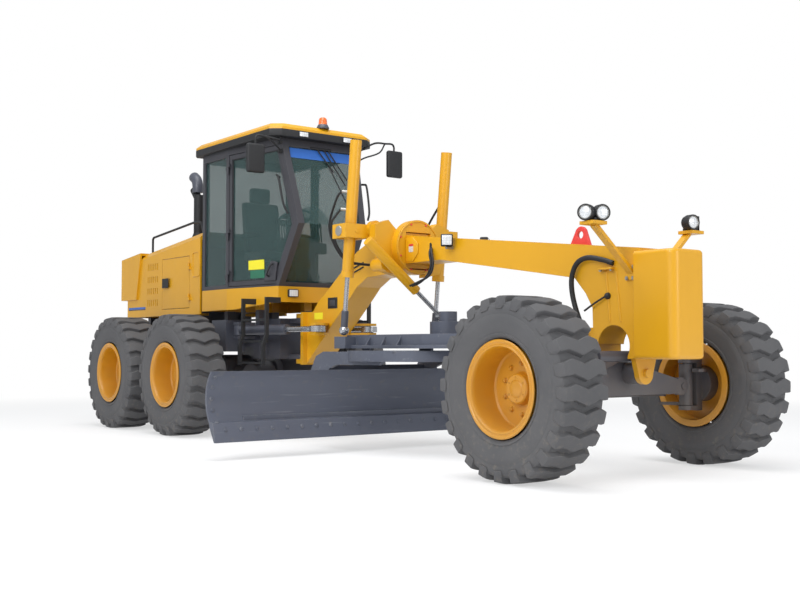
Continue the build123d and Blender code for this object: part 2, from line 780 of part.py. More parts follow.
# ---------------------------------------------------------------- front frame
def front_frame():
    neck = [(1905, 795), (1935, 820), (2360, 1180), (2640, 1410), (2730, 1485), (2850, 1590),
            (3030, 1680), (3440, 1700), (saddle_x - 5, 1740), (saddle_x - 5, 2080), (3250, 2110),
            (2850, 1950), (2560, 1750), (2360, 1610), (2130, 1460), (2030, 1360), (1905, 1360)]
    beam = [(saddle_x - 10, 1780), (4180, 1785), (5490, 1590), (5880, 1530), (6000, 1400), (6070, 1285),
            (6075, 1080), (6010, 1000), (6000, 860), (6520, 890), (6560, nose_bottom),
            (6560, nose_top + 25), (6200, 1765), (4070, 2006), (saddle_x - 10, 2060)]
    shape = plate_xz(neck, -neck_half, neck_half) + plate_xz(beam, -neck_half, neck_half)
    # arch over the axle
    arch = bar((6285, -300, 985), (6285, 300, 985), 160)
    arch = arch + block(6095, 6425, -300, 300, 700, 1000)
    shape = shape - arch
    # nose box
    nose = block(6520, nose_front, -nose_half, nose_half, nose_bottom, nose_top)
    nose = fillet(nose.edges().filter_by(Axis.Z).group_by(Axis.X)[-1], 70)
    nose = fillet(nose.faces().sort_by(Axis.X)[-1].edges(), 30)
    shape = shape + nose
    # base plate and articulation ears
    shape = shape + block(1870, 1915, -205, 205, 790, 1360)
    for z in (rear_ear_low - gap - ear_thickness, rear_ear_high + gap):
        ear = block(artic_x, 1880, -ear_radius, ear_radius, z, z + ear_thickness)
        ear = ear + bar((artic_x, 0, z), (artic_x, 0, z + ear_thickness), ear_radius)
        shape = shape + ear
    shape = shape - bar((artic_x, 0, 700), (artic_x, 0, 1500), artic_pin_radius + pin_fit)
    # ears of the articulation cylinders
    ear_points = [(2130, neck_half - 5), (2330, neck_half - 5), (artic_eye_x + 60, artic_eye_y - 40),
                  (artic_eye_x + 50, artic_eye_y + 60), (artic_eye_x - 50, artic_eye_y + 60)]
    for z in (artic_cylinder_z - 62, artic_cylinder_z + 37):
        shape = shape + both(plate_xy(ear_points, z, z + 25))
    shape = shape + both(bar((artic_eye_x, artic_eye_y, artic_cylinder_z - 60),
                             (artic_eye_x, artic_eye_y, artic_cylinder_z + 60), 20))
    # lugs and pin that carry the axle
    for x0, x1 in ((6010, 6055), (6430, 6475)):
        lug = plate_yz([(-125, 900), (-85, swing_pin_z), (85, swing_pin_z), (125, 900)], x0, x1)
        shape = shape + lug + bar((x0, 0, swing_pin_z), (x1, 0, swing_pin_z), 85)
    shape = shape + bar((6000, 0, swing_pin_z), (6500, 0, swing_pin_z), swing_pin_radius)
    # socket of the drawbar's ball, below and behind the beam's front plate
    shape = shape + block(5885, 6080, -110, 110, 930, 1130)
    cup = bar((ball_x + 38, 0, ball_z), (5900, 0, ball_z), 62)
    shape = shape + (cup - Pos(ball_x, 0, ball_z) * Rot(0, 90, 0) * Sphere(ball_radius + pin_fit))
    return shape


def saddle():
    """The disc round the beam with the two lift arms and their yokes."""
    disc = bar((saddle_x - 70, 0, saddle_z), (saddle_x + 20, 0, saddle_z), saddle_radius)
    arm = plate_yz([(150, 1660), (330, 1700), (430, 1950), (455, 2030), (455, 2150), (300, 2200),
                    (180, 2090), (150, 2000)], saddle_x - 160, saddle_x - 70 + 5)
    boss = bar((lift_pivot_x + 112 + gap, 385, 2120), (saddle_x - 150, 385, 2120), 75)
    reach = block(lift_pivot_x - 45, saddle_x - 120, 330, lift_pivot_y - yoke_inner - gap, 2035, 2150)
    shape = disc + both(arm + boss + reach)
    # the beam and the neck pass through the disc
    hole = block(saddle_x - 400, saddle_x + 100, -neck_half - gap, neck_half + gap, 1725, 2087)
    shape = shape - hole
    # bearing of the centre shift cylinder
    x, y, z = shift_pivot
    boss = bar((saddle_x - 155, y, z), (saddle_x + 23, y, z), 62)
    return shape + boss - bar((saddle_x - 160, y, z), (saddle_x + 30, y, z), 25 + pin_fit)


def lift_yokes():
    """The two frames that hold the lift cylinders, with their pins."""
    ring = block(lift_pivot_x - 112, lift_pivot_x + 112, lift_pivot_y - yoke_inner, lift_pivot_y + 132,
                 lift_pivot_z - 68, lift_pivot_z + 68)
    ring = ring - block(lift_pivot_x - 76, lift_pivot_x + 76, lift_pivot_y - 108, lift_pivot_y + 104,
                        lift_pivot_z - 90, lift_pivot_z + 90)
    for end in (-1, 1):
        ring = ring + bar((lift_pivot_x + end * 46, lift_pivot_y, lift_pivot_z),
                          (lift_pivot_x + end * 118, lift_pivot_y, lift_pivot_z), 22)
    return [ring, mirrored(ring)]


def lift_axis(side):
    """Points on the lift cylinder's centre line at a height, measured along it."""
    lean = math.radians(lift_lean)
    along = Vector(math.sin(lean), 0, math.cos(lean))
    pivot = Vector(lift_pivot_x, side * lift_pivot_y, lift_pivot_z)
    return pivot, along


def lift_barrel(side):
    pivot, along = lift_axis(side)
    shape = bar(pivot - along * 440, pivot + along * 880, 56)
    shape = shape + bar(pivot - along * 440, pivot - along * 380, 63)
    trunnion = bar(pivot - Vector(64, 0, 0), pivot + Vector(64, 0, 0), 30)
    shape = shape + trunnion
    bores = bar(pivot - Vector(70, 0, 0), pivot - Vector(40, 0, 0), 22 + pin_fit)
    bores = bores + bar(pivot + Vector(40, 0, 0), pivot + Vector(70, 0, 0), 22 + pin_fit)
    shape = shape - bores
    return shape - bar(pivot - along * 441, pivot + along * 840, 22 + pin_fit)


def lift_rod(side):
    pivot, along = lift_axis(side)
    foot = lift_foot(side)
    shape = bar(foot + along * 40, pivot + along * 215, 22)
    return shape + Pos(*foot) * Sphere(48) + bar(foot, foot + along * 150, 34)


# ---------------------------------------------------------------- front axle
def front_axle():
    half = axle_half_depth
    x = wheelbase
    beam = plate_yz([(-620, 600), (620, 600), (620, 715), (300, 790), (110, 860), (-110, 860),
                     (-300, 790), (-620, 715)], x - half, x + half)
    boss = bar((6060, 0, swing_pin_z), (6425, 0, swing_pin_z), 85)
    shape = beam + boss
    fork = block(x - half, x + half, 600, lean_pivot_y + 10, 590, 730)
    fork = fork + bar((x - half, lean_pivot_y, lean_pivot_z), (x + half, lean_pivot_y, lean_pivot_z), 62)
    shape = shape + both(fork)
    shape = shape - both(block(x - 45, x + 45, lean_pivot_y - 75, lean_pivot_y + 90, 560, 760))
    shape = shape - both(bar((x - 100, lean_pivot_y, lean_pivot_z), (x + 100, lean_pivot_y, lean_pivot_z),
                             25 + pin_fit))
    shape = shape - bar((6050, 0, swing_pin_z), (6430, 0, swing_pin_z), swing_pin_radius + pin_fit)
    # bracket of the steering cylinder
    start, end, along = cylinder_line((6330, -420, 905), (6400, 720, 905))
    barrel = bar(start + along * 30, start + along * 640, 42)
    barrel = barrel - bar(start + along * 60, start + along * 641, 18 + pin_fit)
    post = block(6270, 6345, -455, -370, 700, 890)
    return shape + post + barrel


def steering_rod():
    start, end, along = cylinder_line((6330, -420, 905), (6400, 720, 905))
    shape = bar(start + along * 330, end - along * 25, 18)
    return shape + bar(end - Vector(0, 0, 22), end + Vector(0, 0, 22), 40)


def lean_yoke(side):
    x = wheelbase
    shape = bar((x - 40, lean_pivot_y, lean_pivot_z), (x + 40, lean_pivot_y, lean_pivot_z), 55)
    pin = bar((x - half_pin, lean_pivot_y, lean_pivot_z), (x + half_pin, lean_pivot_y, lean_pivot_z), 25)
    web = block(x - 40, x + 40, lean_pivot_y, kingpin_y, 605, 715)
    post = bar((x, kingpin_y, 500), (x, kingpin_y, 840), kingpin_radius)
    tip = bar((x, kingpin_y, 460), (x, kingpin_y, 880), 25)
    return handed(shape + pin + web + post + tip, side)


half_pin = 95.0


def knuckle(side):
    x = wheelbase
    shape = block(x - 60, x + 60, 865, 935, 455, 885)
    for z in (460, 845):
        plate = block(x - 60, x + 60, kingpin_y, 870, z, z + 36)
        plate = plate + bar((x, kingpin_y, z), (x, kingpin_y, z + 36), 60)
        shape = shape + plate
    shape = shape - bar((x, kingpin_y, 440), (x, kingpin_y, 900), 25 + pin_fit)
    shape = shape + spindle(x, 1, 930)
    # steering arms: tie rod behind and below, cylinder ahead on the left
    tie = plate_xy([(x - 55, 880), (x - 55, kingpin_y - 20), (x - 215, 715), (x - 215, 765), (x - 90, 890)],
                   496, 520)
    shape = shape + tie + block(x - 60, x - 50, 870, 885, 496, 530)
    if side > 0:
        arm = plate_xy([(x + 55, 930), (x + 55, 868), (x + 75, 795), (x + 150, 690), (x + 215, 690),
                        (x + 215, 750), (x + 115, 930)], 774, 800)
        shape = shape + arm
    return handed(shape, side)


def tie_rod():
    x = wheelbase - 200
    z = 590.0
    shape = bar((x, -720, z), (x, 720, z), 20)
    for y in (-740, 740):
        shape = shape + Pos(x, y, z) * Cylinder(34, 44)
    return shape


# ---------------------------------------------------------------- drawbar, circle and blade
def draft_ball():
    """The ball stud between the nose and the drawbar."""
    shape = Pos(ball_x, 0, ball_z) * Sphere(ball_radius)
    shape = shape + bar((ball_x, -160, ball_z), (ball_x, 160, ball_z), 28)
    return shape + bar((ball_x, 0, ball_z + 50), (ball_x, 0, ball_z + 92), 22)


def drawbar():
    z0, z1 = drawbar_bottom, drawbar_top
    rear = 3100.0
    outline = [(rear, -430), (rear + 120, -560), (4350, -560), (ball_x - 330, -110), (ball_x - 330, 110),
               (4350, 560), (rear + 120, 560), (rear, 430)]
    shape = plate_xy(outline, z0, z0 + 30)
    shape = shape - Pos(circle_x, 0, z0) * Cylinder(330, 100)
    # side channels with ribs
    side_beam = plate_xy([(rear + 80, 400), (4330, 400), (ball_x - 340, 40), (ball_x - 340, 100),
                          (4360, 500), (rear + 80, 500)], z0 + 20, z1)
    ribs = [plate_yz([(495, z0 + 28), (556, z0 + 28), (495, z1 - 8)], x, x + 16) for x in (3560, 3800, 4040)]
    shape = shape + both(side_beam)
    for rib in ribs:
        shape = shape + both(rib)
    for x in (rear + 80, 4280):
        shape = shape + block(x, x + 60, -420, 420, z0 + 20, z1)
    # fork round the ball
    fork = plate_xy([(ball_x - 360, 0), (ball_x - 360, 110), (ball_x - 150, 165), (ball_x + 45, 165),
                     (ball_x + 45, 125), (ball_x - 120, 125), (ball_x - 210, 0)], ball_z - 55, ball_z + 55)
    shape = shape + both(fork)
    shape = shape - both(bar((ball_x, 100, ball_z), (ball_x, 180, ball_z), 28 + pin_fit))
    # seats of the lift cylinders' balls
    for side in (1, -1):
        foot = lift_foot(side)
        shape = shape + block(foot.X - 75, foot.X + 110, side * 380, foot.Y + side * 62,
                              z0, foot.Z - 60)
    # circle drive: gear case and motor
    shape = shape + Pos(4120, 0, 1150) * Cylinder(170, 130) + block(3900, 4340, -420, 420, z0 + 20, z1)
    shape = shape + Pos(4120, 0, 1255) * Cylinder(85, 110)
    # shoes that hook under the ledge inside the circle
    for angle in (40, 140, 220, 320):
        shoe = block(ledge_radius - 46, ring_inner - 4, -55, 55, ledge_z - ledge_height / 2 - 18, z0 + 5)
        shape = shape + Pos(circle_x, 0, 0) * Rot(0, 0, angle) * shoe
    groove = Cylinder(ring_inner + 20, ledge_height + 2 * gap) - Cylinder(ledge_radius - 4, 100)
    shape = shape - Pos(circle_x, 0, ledge_z) * groove
    shape = shape - Pos(circle_x, 0, ledge_z) * (Cylinder(900, 140) - Cylinder(ring_inner - 4, 200))
    # bracket of the centre shift rod, ahead of its eye
    x, y, z = shift_eye
    post = plate_yz([(y - 45, z), (y - 30, z + 38), (y + 30, z + 38), (y + 45, z), (y + 190, z1 - 5),
                     (y - 100, z1 - 5)], x + 46, x + 72)
    shape = shape + post + block(x + 46, 3950, y - 100, y + 330, z0 + 20, z1)
    return shape


def lift_foot(side):
    pivot, along = lift_axis(side)
    return pivot - along * lift_reach


def circle():
    ring = Pos(circle_x, 0, (circle_bottom + circle_top) / 2) * Cylinder(circle_radius,
                                                                       circle_top - circle_bottom)
    ring = ring - Pos(circle_x, 0, circle_top) * Cylinder(ring_inner, 300)
    ledge = Pos(circle_x, 0, ledge_z) * (Cylinder(ring_inner + 5, ledge_height)
                                         - Cylinder(ledge_radius, ledge_height + 10))
    ring = ring + ledge
    arm = [(4180, 935), (3030, 935), (2900, 890), (2815, 760), (2850, 480), (3120, 215), (3340, 215),
           (3375, 290), (3360, 360), (3210, 430), (3130, 560), (3130, 770), (3250, 810), (3940, 812)]
    plate = plate_xz(arm, arm_y, arm_y + 36)
    plate = plate - bar((tip_x, arm_y - 10, tip_z), (tip_x, arm_y + 60, tip_z), 30 + pin_fit)
    cross = block(2880, 2960, -arm_y - 5, arm_y + 5, 640, 800)
    return ring + both(plate) + cross


def blade_section(offset):
    """Three points of the moldboard's face, moved back by an offset."""
    return ((3500 - offset, 305), (3412 - offset, 530), (3510 - offset, blade_top))


def moldboard():
    low, mid, high = blade_section(0)
    low_b, mid_b, high_b = blade_section(blade_plate)
    y = -blade_half

    def point(p):
        return Vector(p[0], y, p[1])

    front = ThreePointArc(point(low), point(mid), point(high))
    back = ThreePointArc(point(high_b), point(mid_b), point(low_b))
    outline = Wire([front, Line(point(high), point(high_b)), back, Line(point(low_b), point(low))])
    shape = Solid.extrude(Face(outline), Vector(0, blade_length, 0))
    # cutting edge and end bits
    edge = plate_xz([(blade_edge_x, blade_bottom), (3530, 325), (3500, 335), (3466, 318), (3470, 290),
                     (blade_edge_x - 24, blade_bottom)], -blade_half, blade_half)
    shape = shape + edge
    # rails on the back
    for z0, z1, x0, x1 in ((575, 635, 3335, 3410), (315, 375, 3385, 3475)):
        shape = shape + block(x0, x1, -blade_half + 330, blade_half - 330, z0, z1)
    # side shift rod and its lug
    lug_y = 1400.0
    shape = shape + block(3235, 3400, lug_y, lug_y + 60, 440, 520)
    shape = shape + bar((3280, 10, 480), (3280, lug_y + 5, 480), 24)
    return shape


def blade_bracket():
    """Tip frame: two jaw plates that hold the rails, and the side shift barrel between them."""
    jaw = [(3215, 250), (3365, 250), (3372, 312), (3378, 378), (3340, 400), (3325, 572), (3325, 640),
           (3300, 690), (3230, 690)]
    plate = plate_xz(jaw, 520, arm_y - 10)
    plate = plate + bar((tip_x, 520, tip_z), (tip_x, arm_y - 4, tip_z), 70)
    pin = bar((tip_x, 530, tip_z), (tip_x, arm_y + 50, tip_z), 30)
    shape = both(plate + pin)
    shape = shape - block(3380, 3500, -700, 700, 310, 380)
    barrel = bar((3280, -720, 480), (3280, 720, 480), 45)
    shape = shape + barrel
    return shape - bar((3280, -690, 480), (3280, 721, 480), 24 + pin_fit)


# centre shift cylinder, from the saddle's right side down to the drawbar's left side
shift_pivot = (saddle_x + 80, -390.0, 1765.0)
shift_eye = (saddle_x + 80, 225.0, 1280.0)


def shift_barrel():
    start, end, along = cylinder_line(shift_pivot, shift_eye)
    shape = bar(start - along * 330, start + along * 400, 48)
    shape = shape + bar(start, (saddle_x - 140, start.Y, start.Z), 25)
    return shape - bar(start - along * 290, start + along * 401, 20 + pin_fit)


def shift_rod():
    start, end, along = cylinder_line(shift_pivot, shift_eye)
    shape = bar(start + along * 30, end, 20)
    return shape + bar(end - Vector(26, 0, 0), end + Vector(26, 0, 0), 42)


def headlamps():
    """A pair of round lamps on each side of the nose."""
    shapes = []
    for side in (1, -1):
        pair = bar((6448, 530, lamp_z), (6548, 500, lamp_z), lamp_radius)
        pair = pair + bar((6418, 609, lamp_z), (6508, 629, lamp_z), lamp_radius)
        shapes.append(handed(pair, side))
    return shapes


def lamp_arm():
    """A flat arm from the nose's side up to the pad under the lamps."""
    start, end = Vector(6470, 152, 1540), Vector(6455, 545, 1880)
    plane = Plane(origin=start, x_dir=(1, 0, 0), z_dir=(end - start).normalized())
    arm = extrude(plane * Rectangle(60, 28), (end - start).length)
    foot = block(6425, 6515, neck_half - 5, neck_half + 14, 1485, 1595)
    pad_top = lamp_z - lamp_radius - gap
    return arm + foot + block(6400, 6540, 495, 640, pad_top - 26, pad_top)


# ---------------------------------------------------------------- assembly
def build():
    nodes = {}
    nodes["rear_frame"] = rear_frame()
    nodes["rear_axle"] = rear_axle()
    nodes["engine"] = engine()
    nodes["hood"] = hood()
    nodes["exhaust"] = exhaust()
    nodes["cab_base"] = cab_base()
    nodes["cab_frame"] = cab_frame()
    nodes["cab_roof"] = cab_roof()
    nodes["cab_glass"] = cab_glass()
    nodes["seat"] = seat()
    nodes["controls"] = controls()
    nodes["ladders"] = both(ladder())
    nodes["hand_rails"] = both(hand_rails())
    nodes["mirrors"] = mirrors()
    nodes["beacon"] = cab_lamps()
    for name, side in sides:
        nodes[f"cab_door_{name}"] = cab_door(side)
        nodes[f"hood_door_{name}"] = hood_door(side)
        nodes[f"tandem_{name}"] = tandem_case(side)
        nodes[f"artic_barrel_{name}"] = artic_barrel(side)
        nodes[f"artic_rod_{name}"] = artic_rod(side)
        nodes[f"lift_barrel_{name}"] = lift_barrel(side)
        nodes[f"lift_rod_{name}"] = lift_rod(side)
        nodes[f"lean_yoke_{name}"] = lean_yoke(side)
        nodes[f"knuckle_{name}"] = knuckle(side)
    nodes["front_frame"] = front_frame() + both(lamp_arm())
    nodes["saddle"] = saddle()
    nodes["lift_yokes"] = lift_yokes()
    nodes["headlamps"] = headlamps()
    nodes["front_axle"] = front_axle()
    nodes["steering_rod"] = steering_rod()
    nodes["tie_rod"] = tie_rod()
    nodes["draft_ball"] = draft_ball()
    nodes["drawbar"] = drawbar()
    nodes["circle"] = circle()
    nodes["blade_bracket"] = blade_bracket()
    nodes["moldboard"] = moldboard()
    nodes["shift_barrel"] = shift_barrel()
    nodes["shift_rod"] = shift_rod()
    add_wheels(nodes)
    return nodes


def solids_of(shape):
    if isinstance(shape, list):
        return [solid for piece in shape for solid in solids_of(piece)]
    return list(shape.solids())


def write(nodes):
    os.makedirs("parts", exist_ok=True)
    whole = Compound(children=[s for shape in nodes.values() for s in solids_of(shape)])
    box = whole.bounding_box()
    middle = Vector((box.min.X + box.max.X) / 2, (box.min.Y + box.max.Y) / 2, box.min.Z)
    for name, shape in nodes.items():
        solids = [s.moved(Location(-middle)) for s in solids_of(shape)]
        export_step(Compound(children=solids) if len(solids) > 1 else solids[0], f"parts/{name}.step")
    print("middle of the ground area", middle.X, middle.Y, middle.Z)


if __name__ == "__main__":
    write(build())
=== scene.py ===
import math

import bmesh
import bpy
from mathutils import Matrix, Vector


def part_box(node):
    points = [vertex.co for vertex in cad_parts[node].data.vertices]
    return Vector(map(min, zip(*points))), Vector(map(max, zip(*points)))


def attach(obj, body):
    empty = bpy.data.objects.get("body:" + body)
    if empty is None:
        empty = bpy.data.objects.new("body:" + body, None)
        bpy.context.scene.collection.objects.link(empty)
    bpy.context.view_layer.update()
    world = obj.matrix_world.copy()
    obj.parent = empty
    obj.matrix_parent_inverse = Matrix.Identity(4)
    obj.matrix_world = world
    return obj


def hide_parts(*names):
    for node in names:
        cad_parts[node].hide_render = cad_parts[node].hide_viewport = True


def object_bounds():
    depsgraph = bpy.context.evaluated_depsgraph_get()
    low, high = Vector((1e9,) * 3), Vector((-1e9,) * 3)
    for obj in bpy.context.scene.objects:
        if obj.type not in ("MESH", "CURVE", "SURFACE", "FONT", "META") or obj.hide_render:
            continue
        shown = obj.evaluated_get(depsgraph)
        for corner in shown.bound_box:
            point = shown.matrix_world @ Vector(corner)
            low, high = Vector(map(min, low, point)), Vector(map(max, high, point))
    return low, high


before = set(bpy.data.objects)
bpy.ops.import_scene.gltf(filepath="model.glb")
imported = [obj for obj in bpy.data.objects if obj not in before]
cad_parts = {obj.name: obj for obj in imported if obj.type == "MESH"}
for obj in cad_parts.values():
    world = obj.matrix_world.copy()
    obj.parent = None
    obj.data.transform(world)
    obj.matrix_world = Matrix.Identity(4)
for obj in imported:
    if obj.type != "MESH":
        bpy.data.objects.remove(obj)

cad_low, cad_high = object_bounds()


# ---------------- where things are
def middle(node):
    low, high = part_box(node)
    return (low + high) / 2


tyre_middle = middle("tyre_front_left")
tyre_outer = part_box("tyre_front_left")[1] - tyre_middle
pivot_x = (middle("tyre_rear_left").x + middle("tyre_middle_left").x) / 2
rolling_radius = 0.675
ground = tyre_middle.z - rolling_radius


def at(x, y, z):
    """A place measured forward from the tandem's pivot, to the left, and up from the ground."""
    return Vector((pivot_x + x, y, ground + z))


def linear(red, green, blue):
    """A colour as the eye reads it, 0 to 255, as light."""
    parts = []
    for part in (red, green, blue):
        part = part / 255
        parts.append(part / 12.92 if part <= 0.04045 else ((part + 0.055) / 1.055) ** 2.4)
    return (*parts, 1.0)


# ---------------- finishes
class Amount:
    """A number in a finish. Arithmetic on it adds Math nodes."""

    def __init__(self, finish, link):
        self.finish, self.link = finish, link

    def _with(self, operation, first, second=None):
        values = {0: first}
        if second is not None:
            values[1] = second
        node = self.finish.add("ShaderNodeMath", {"operation": operation}, values)
        return Amount(self.finish, node.outputs[0])

    def __add__(self, other):
        return self._with("ADD", self, other)

    def __radd__(self, other):
        return self._with("ADD", other, self)

    def __sub__(self, other):
        return self._with("SUBTRACT", self, other)

    def __rsub__(self, other):
        return self._with("SUBTRACT", other, self)

    def __mul__(self, other):
        return self._with("MULTIPLY", self, other)

    def __rmul__(self, other):
        return self._with("MULTIPLY", other, self)

    def held(self):
        """The number kept between 0 and 1."""
        return self._with("MINIMUM", self._with("MAXIMUM", self, 0.0), 1.0)

    def over(self, low, high):
        """0 below low, 1 above high and smooth between them."""
        node = self.finish.add("ShaderNodeMapRange", {"interpolation_type": "SMOOTHSTEP"},
                               {"Value": self, "From Min": low, "From Max": high})
        return Amount(self.finish, node.outputs[0])

    def sine(self):
        return self._with("SINE", self)


def new_node(tree, kind, settings=None, values=None):
    """A node: its settings first, then the numbers or links of its sockets."""
    node = tree.nodes.new(kind)
    for name, value in (settings or {}).items():
        setattr(node, name, value)
    for name, value in (values or {}).items():
        value = value.link if isinstance(value, Amount) else value
        if isinstance(value, bpy.types.NodeSocket):
            tree.links.new(value, node.inputs[name])
        else:
            node.inputs[name].default_value = value
    return node


class Finish:
    """The nodes of one surface of the machine."""

    def __init__(self, name):
        self.material = bpy.data.materials.new(name)
        self.material.use_nodes = True
        self.tree = self.material.node_tree
        self.tree.nodes.clear()
        self.place = self.add("ShaderNodeTexCoord").outputs["Object"]
        parts = self.add("ShaderNodeSeparateXYZ", None, {0: self.place}).outputs
        self.x, self.y, self.z = (Amount(self, part) for part in parts)

    def add(self, kind, settings=None, values=None):
        """A node of this finish, as new_node makes it."""
        return new_node(self.tree, kind, settings, values)

    def cloud(self, scale, detail=3.0, stretch=(1, 1, 1)):
        """Soft noise from 0 to 1, about scale patches in a metre."""
        place = self.add("ShaderNodeMapping", None, {"Vector": self.place, "Scale": stretch})
        node = self.add("ShaderNodeTexNoise", None,
                        {"Vector": place.outputs[0], "Scale": scale, "Detail": detail, "Roughness": 0.55})
        return Amount(self, node.outputs["Fac"])

    def cells(self, scale):
        """Distance to the nearest of scale cells in a metre."""
        place = self.add("ShaderNodeMapping", None, {"Vector": self.place})
        node = self.add("ShaderNodeTexVoronoi", None, {"Vector": place.outputs[0], "Scale": scale})
        return Amount(self, node.outputs["Distance"])

    def blend(self, share, first, second):
        """A colour between two, by a share; each is a link or three numbers from 0 to 255."""
        ends = [linear(*end) if isinstance(end, tuple) else end for end in (first, second)]
        node = self.add("ShaderNodeMix", {"data_type": "RGBA"}, {0: share, 6: ends[0], 7: ends[1]})
        return node.outputs[2]

    def rounded(self, radius):
        """The surface's direction with its edges eased, and how near an edge a place is."""
        soft = self.add("ShaderNodeBevel", {"samples": 4}, {"Radius": radius}).outputs[0]
        plain = self.add("ShaderNodeNewGeometry").outputs["Normal"]
        turn = self.add("ShaderNodeVectorMath", {"operation": "DOT_PRODUCT"}, {0: soft, 1: plain})
        return soft, 1 - Amount(self, turn.outputs["Value"])

    def relief(self, height, depth, normal=None):
        """The surface's direction after fine relief, depth in metres."""
        values = {"Height": height, "Distance": depth}
        if normal is not None:
            values["Normal"] = normal
        return self.add("ShaderNodeBump", None, values).outputs[0]

    def done(self, **sockets):
        """Closes the finish with its shader; sockets by name, with _ for a space."""
        values = {name.replace("_", " "): value for name, value in sockets.items()}
        shader = self.add("ShaderNodeBsdfPrincipled", None, values)
        out = self.add("ShaderNodeOutputMaterial")
        self.tree.links.new(shader.outputs[0], out.inputs["Surface"])
        return self.material


def painted(name, colour, shade, rough, dust=0.25, chips=0.5, coat=0.25):
    """Sprayed steel: uneven tone, road dust low down, rubbed edges and a fine orange peel."""
    f = Finish(name)
    broad, fine = f.cloud(0.9, 3), f.cloud(11, 6)
    soft, near_edge = f.rounded(0.006)
    streaks = f.cloud(5, 4, (1, 1, 0.12))
    tone = f.blend((broad * 0.7 + streaks * 0.45 - 0.3).held(), colour, shade)
    low_down = (f.z * -1 + (0.95 + broad * 0.5)).over(0.0, 1.1) * (0.35 + fine * 0.9)
    tone = f.blend((low_down * dust).held(), tone, (158, 140, 112))
    rubbed = (near_edge * 7).held() * fine.over(0.48, 0.66) * chips
    tone = f.blend(rubbed.held(), tone, (112, 104, 96))
    normal = f.relief(f.cloud(160, 2) + fine * 1.5, 0.00025, soft)
    return f.done(Base_Color=tone, Roughness=(rough + fine * 0.14 + low_down * 0.2).held(),
                  Normal=normal, Coat_Weight=coat, Coat_Roughness=0.18)


def tyre_rubber():
    """Black rubber with a grey bloom, dust in the hollows and scuffed bars."""
    f = Finish("tyre_rubber_dusty")
    broad, fine, grit = f.cloud(2.2, 4), f.cloud(26, 6), f.cloud(190, 3)
    soft, near_edge = f.rounded(0.004)
    tone = f.blend((broad * 0.8 + fine * 0.35 - 0.1).held(), (70, 71, 74), (98, 97, 98))
    tone = f.blend((near_edge * 5).held() * 0.45, tone, (118, 116, 114))
    tone = f.blend((fine.over(0.52, 0.75) * (1 - f.z).over(0.0, 1.0) * 0.4).held(), tone, (126, 118, 106))
    normal = f.relief(grit * 0.6 + fine, 0.0011, soft)
    return f.done(Base_Color=tone, Roughness=(0.62 + fine * 0.25).held(), Normal=normal)


def blade_steel():
    """Dark bluish paint of the blade and drawbar, with fine scratches along it and worn corners."""
    f = Finish("blade_grey_scratched")
    broad, fine = f.cloud(1.3, 4), f.cloud(13, 6)
    scratch = f.cloud(34, 5, (1, 0.06, 1))
    soft, near_edge = f.rounded(0.006)
    tone = f.blend((broad * 0.9 - 0.1).held(), (82, 87, 101), (97, 101, 113))
    tone = f.blend(scratch.over(0.6, 0.74) * 0.35, tone, (138, 140, 146))
    tone = f.blend((fine.over(0.55, 0.8) * 0.3).held(), tone, (122, 116, 108))
    tone = f.blend(((near_edge * 6).held() * fine.over(0.4, 0.6) * 0.7).held(), tone, (150, 150, 152))
    normal = f.relief(scratch + fine * 0.6, 0.0005, soft)
    return f.done(Base_Color=tone, Roughness=(0.34 + fine * 0.25).held(), Metallic=0.15, Normal=normal)


def chromed():
    """A polished rod, with faint rings of wear and a film of oil."""
    f = Finish("chrome_rod_oiled")
    fine, film = f.cloud(60, 3), f.cloud(7, 4)
    tone = f.blend((film * 0.8).held(), (196, 198, 202), (150, 152, 156))
    return f.done(Base_Color=tone, Metallic=0.9, Roughness=(0.16 + fine * 0.12 + film * 0.1).held(),
                  Normal=f.relief(fine, 0.0002))


def bare_steel():
    """Zinc-coated bolts, caps and fittings."""
    f = Finish("zinc_steel")
    fine, broad = f.cloud(70, 4), f.cloud(9, 4)
    tone = f.blend((broad * 0.9).held(), (186, 184, 178), (140, 138, 134))
    return f.done(Base_Color=tone, Metallic=0.75, Roughness=(0.32 + fine * 0.25).held(),
                  Normal=f.relief(fine, 0.0004))


def window_glass():
    """Green-grey tinted safety glass with a thin film of dust at its lower edge."""
    f = Finish("tinted_glass")
    film = f.cloud(4, 5)
    low_down = (2.1 - f.z).over(0.0, 0.5)
    tone = f.blend((film * 0.5).held(), (62, 92, 90), (40, 62, 64))
    f.material.surface_render_method = "BLENDED"
    return f.done(Base_Color=tone, Roughness=(0.03 + film * 0.05).held(),
                  Alpha=(0.40 + film * 0.07 + low_down * 0.06).held(), Coat_Weight=0.6, Coat_Roughness=0.03)


def lamp_lens():
    """A clear moulded lens with fluting over a bright reflector."""
    f = Finish("fluted_lens")
    flutes = (f.y * 260).sine() * 0.5 + (f.z * 260).sine() * 0.5
    cloud = f.cloud(30, 3)
    tone = f.blend((flutes * 0.2 + 0.25 + cloud * 0.25).held(), (238, 240, 242), (176, 182, 188))
    return f.done(Base_Color=tone, Roughness=(0.08 + cloud * 0.1).held(), Metallic=0.1,
                  Normal=f.relief(flutes, 0.0008), Coat_Weight=1.0, Coat_Roughness=0.03)


def seat_cloth():
    """Woven seat fabric."""
    f = Finish("seat_weave")
    weave = (f.x * 1900).sine() * (f.y * 1900 + f.z * 1900).sine()
    wear = f.cloud(8, 4)
    tone = f.blend((weave * 0.3 + wear * 0.6).held(), (38, 42, 46), (66, 70, 74))
    return f.done(Base_Color=tone, Roughness=(0.8 + wear * 0.15).held(), Sheen_Weight=0.4,
                  Normal=f.relief(weave, 0.0009))


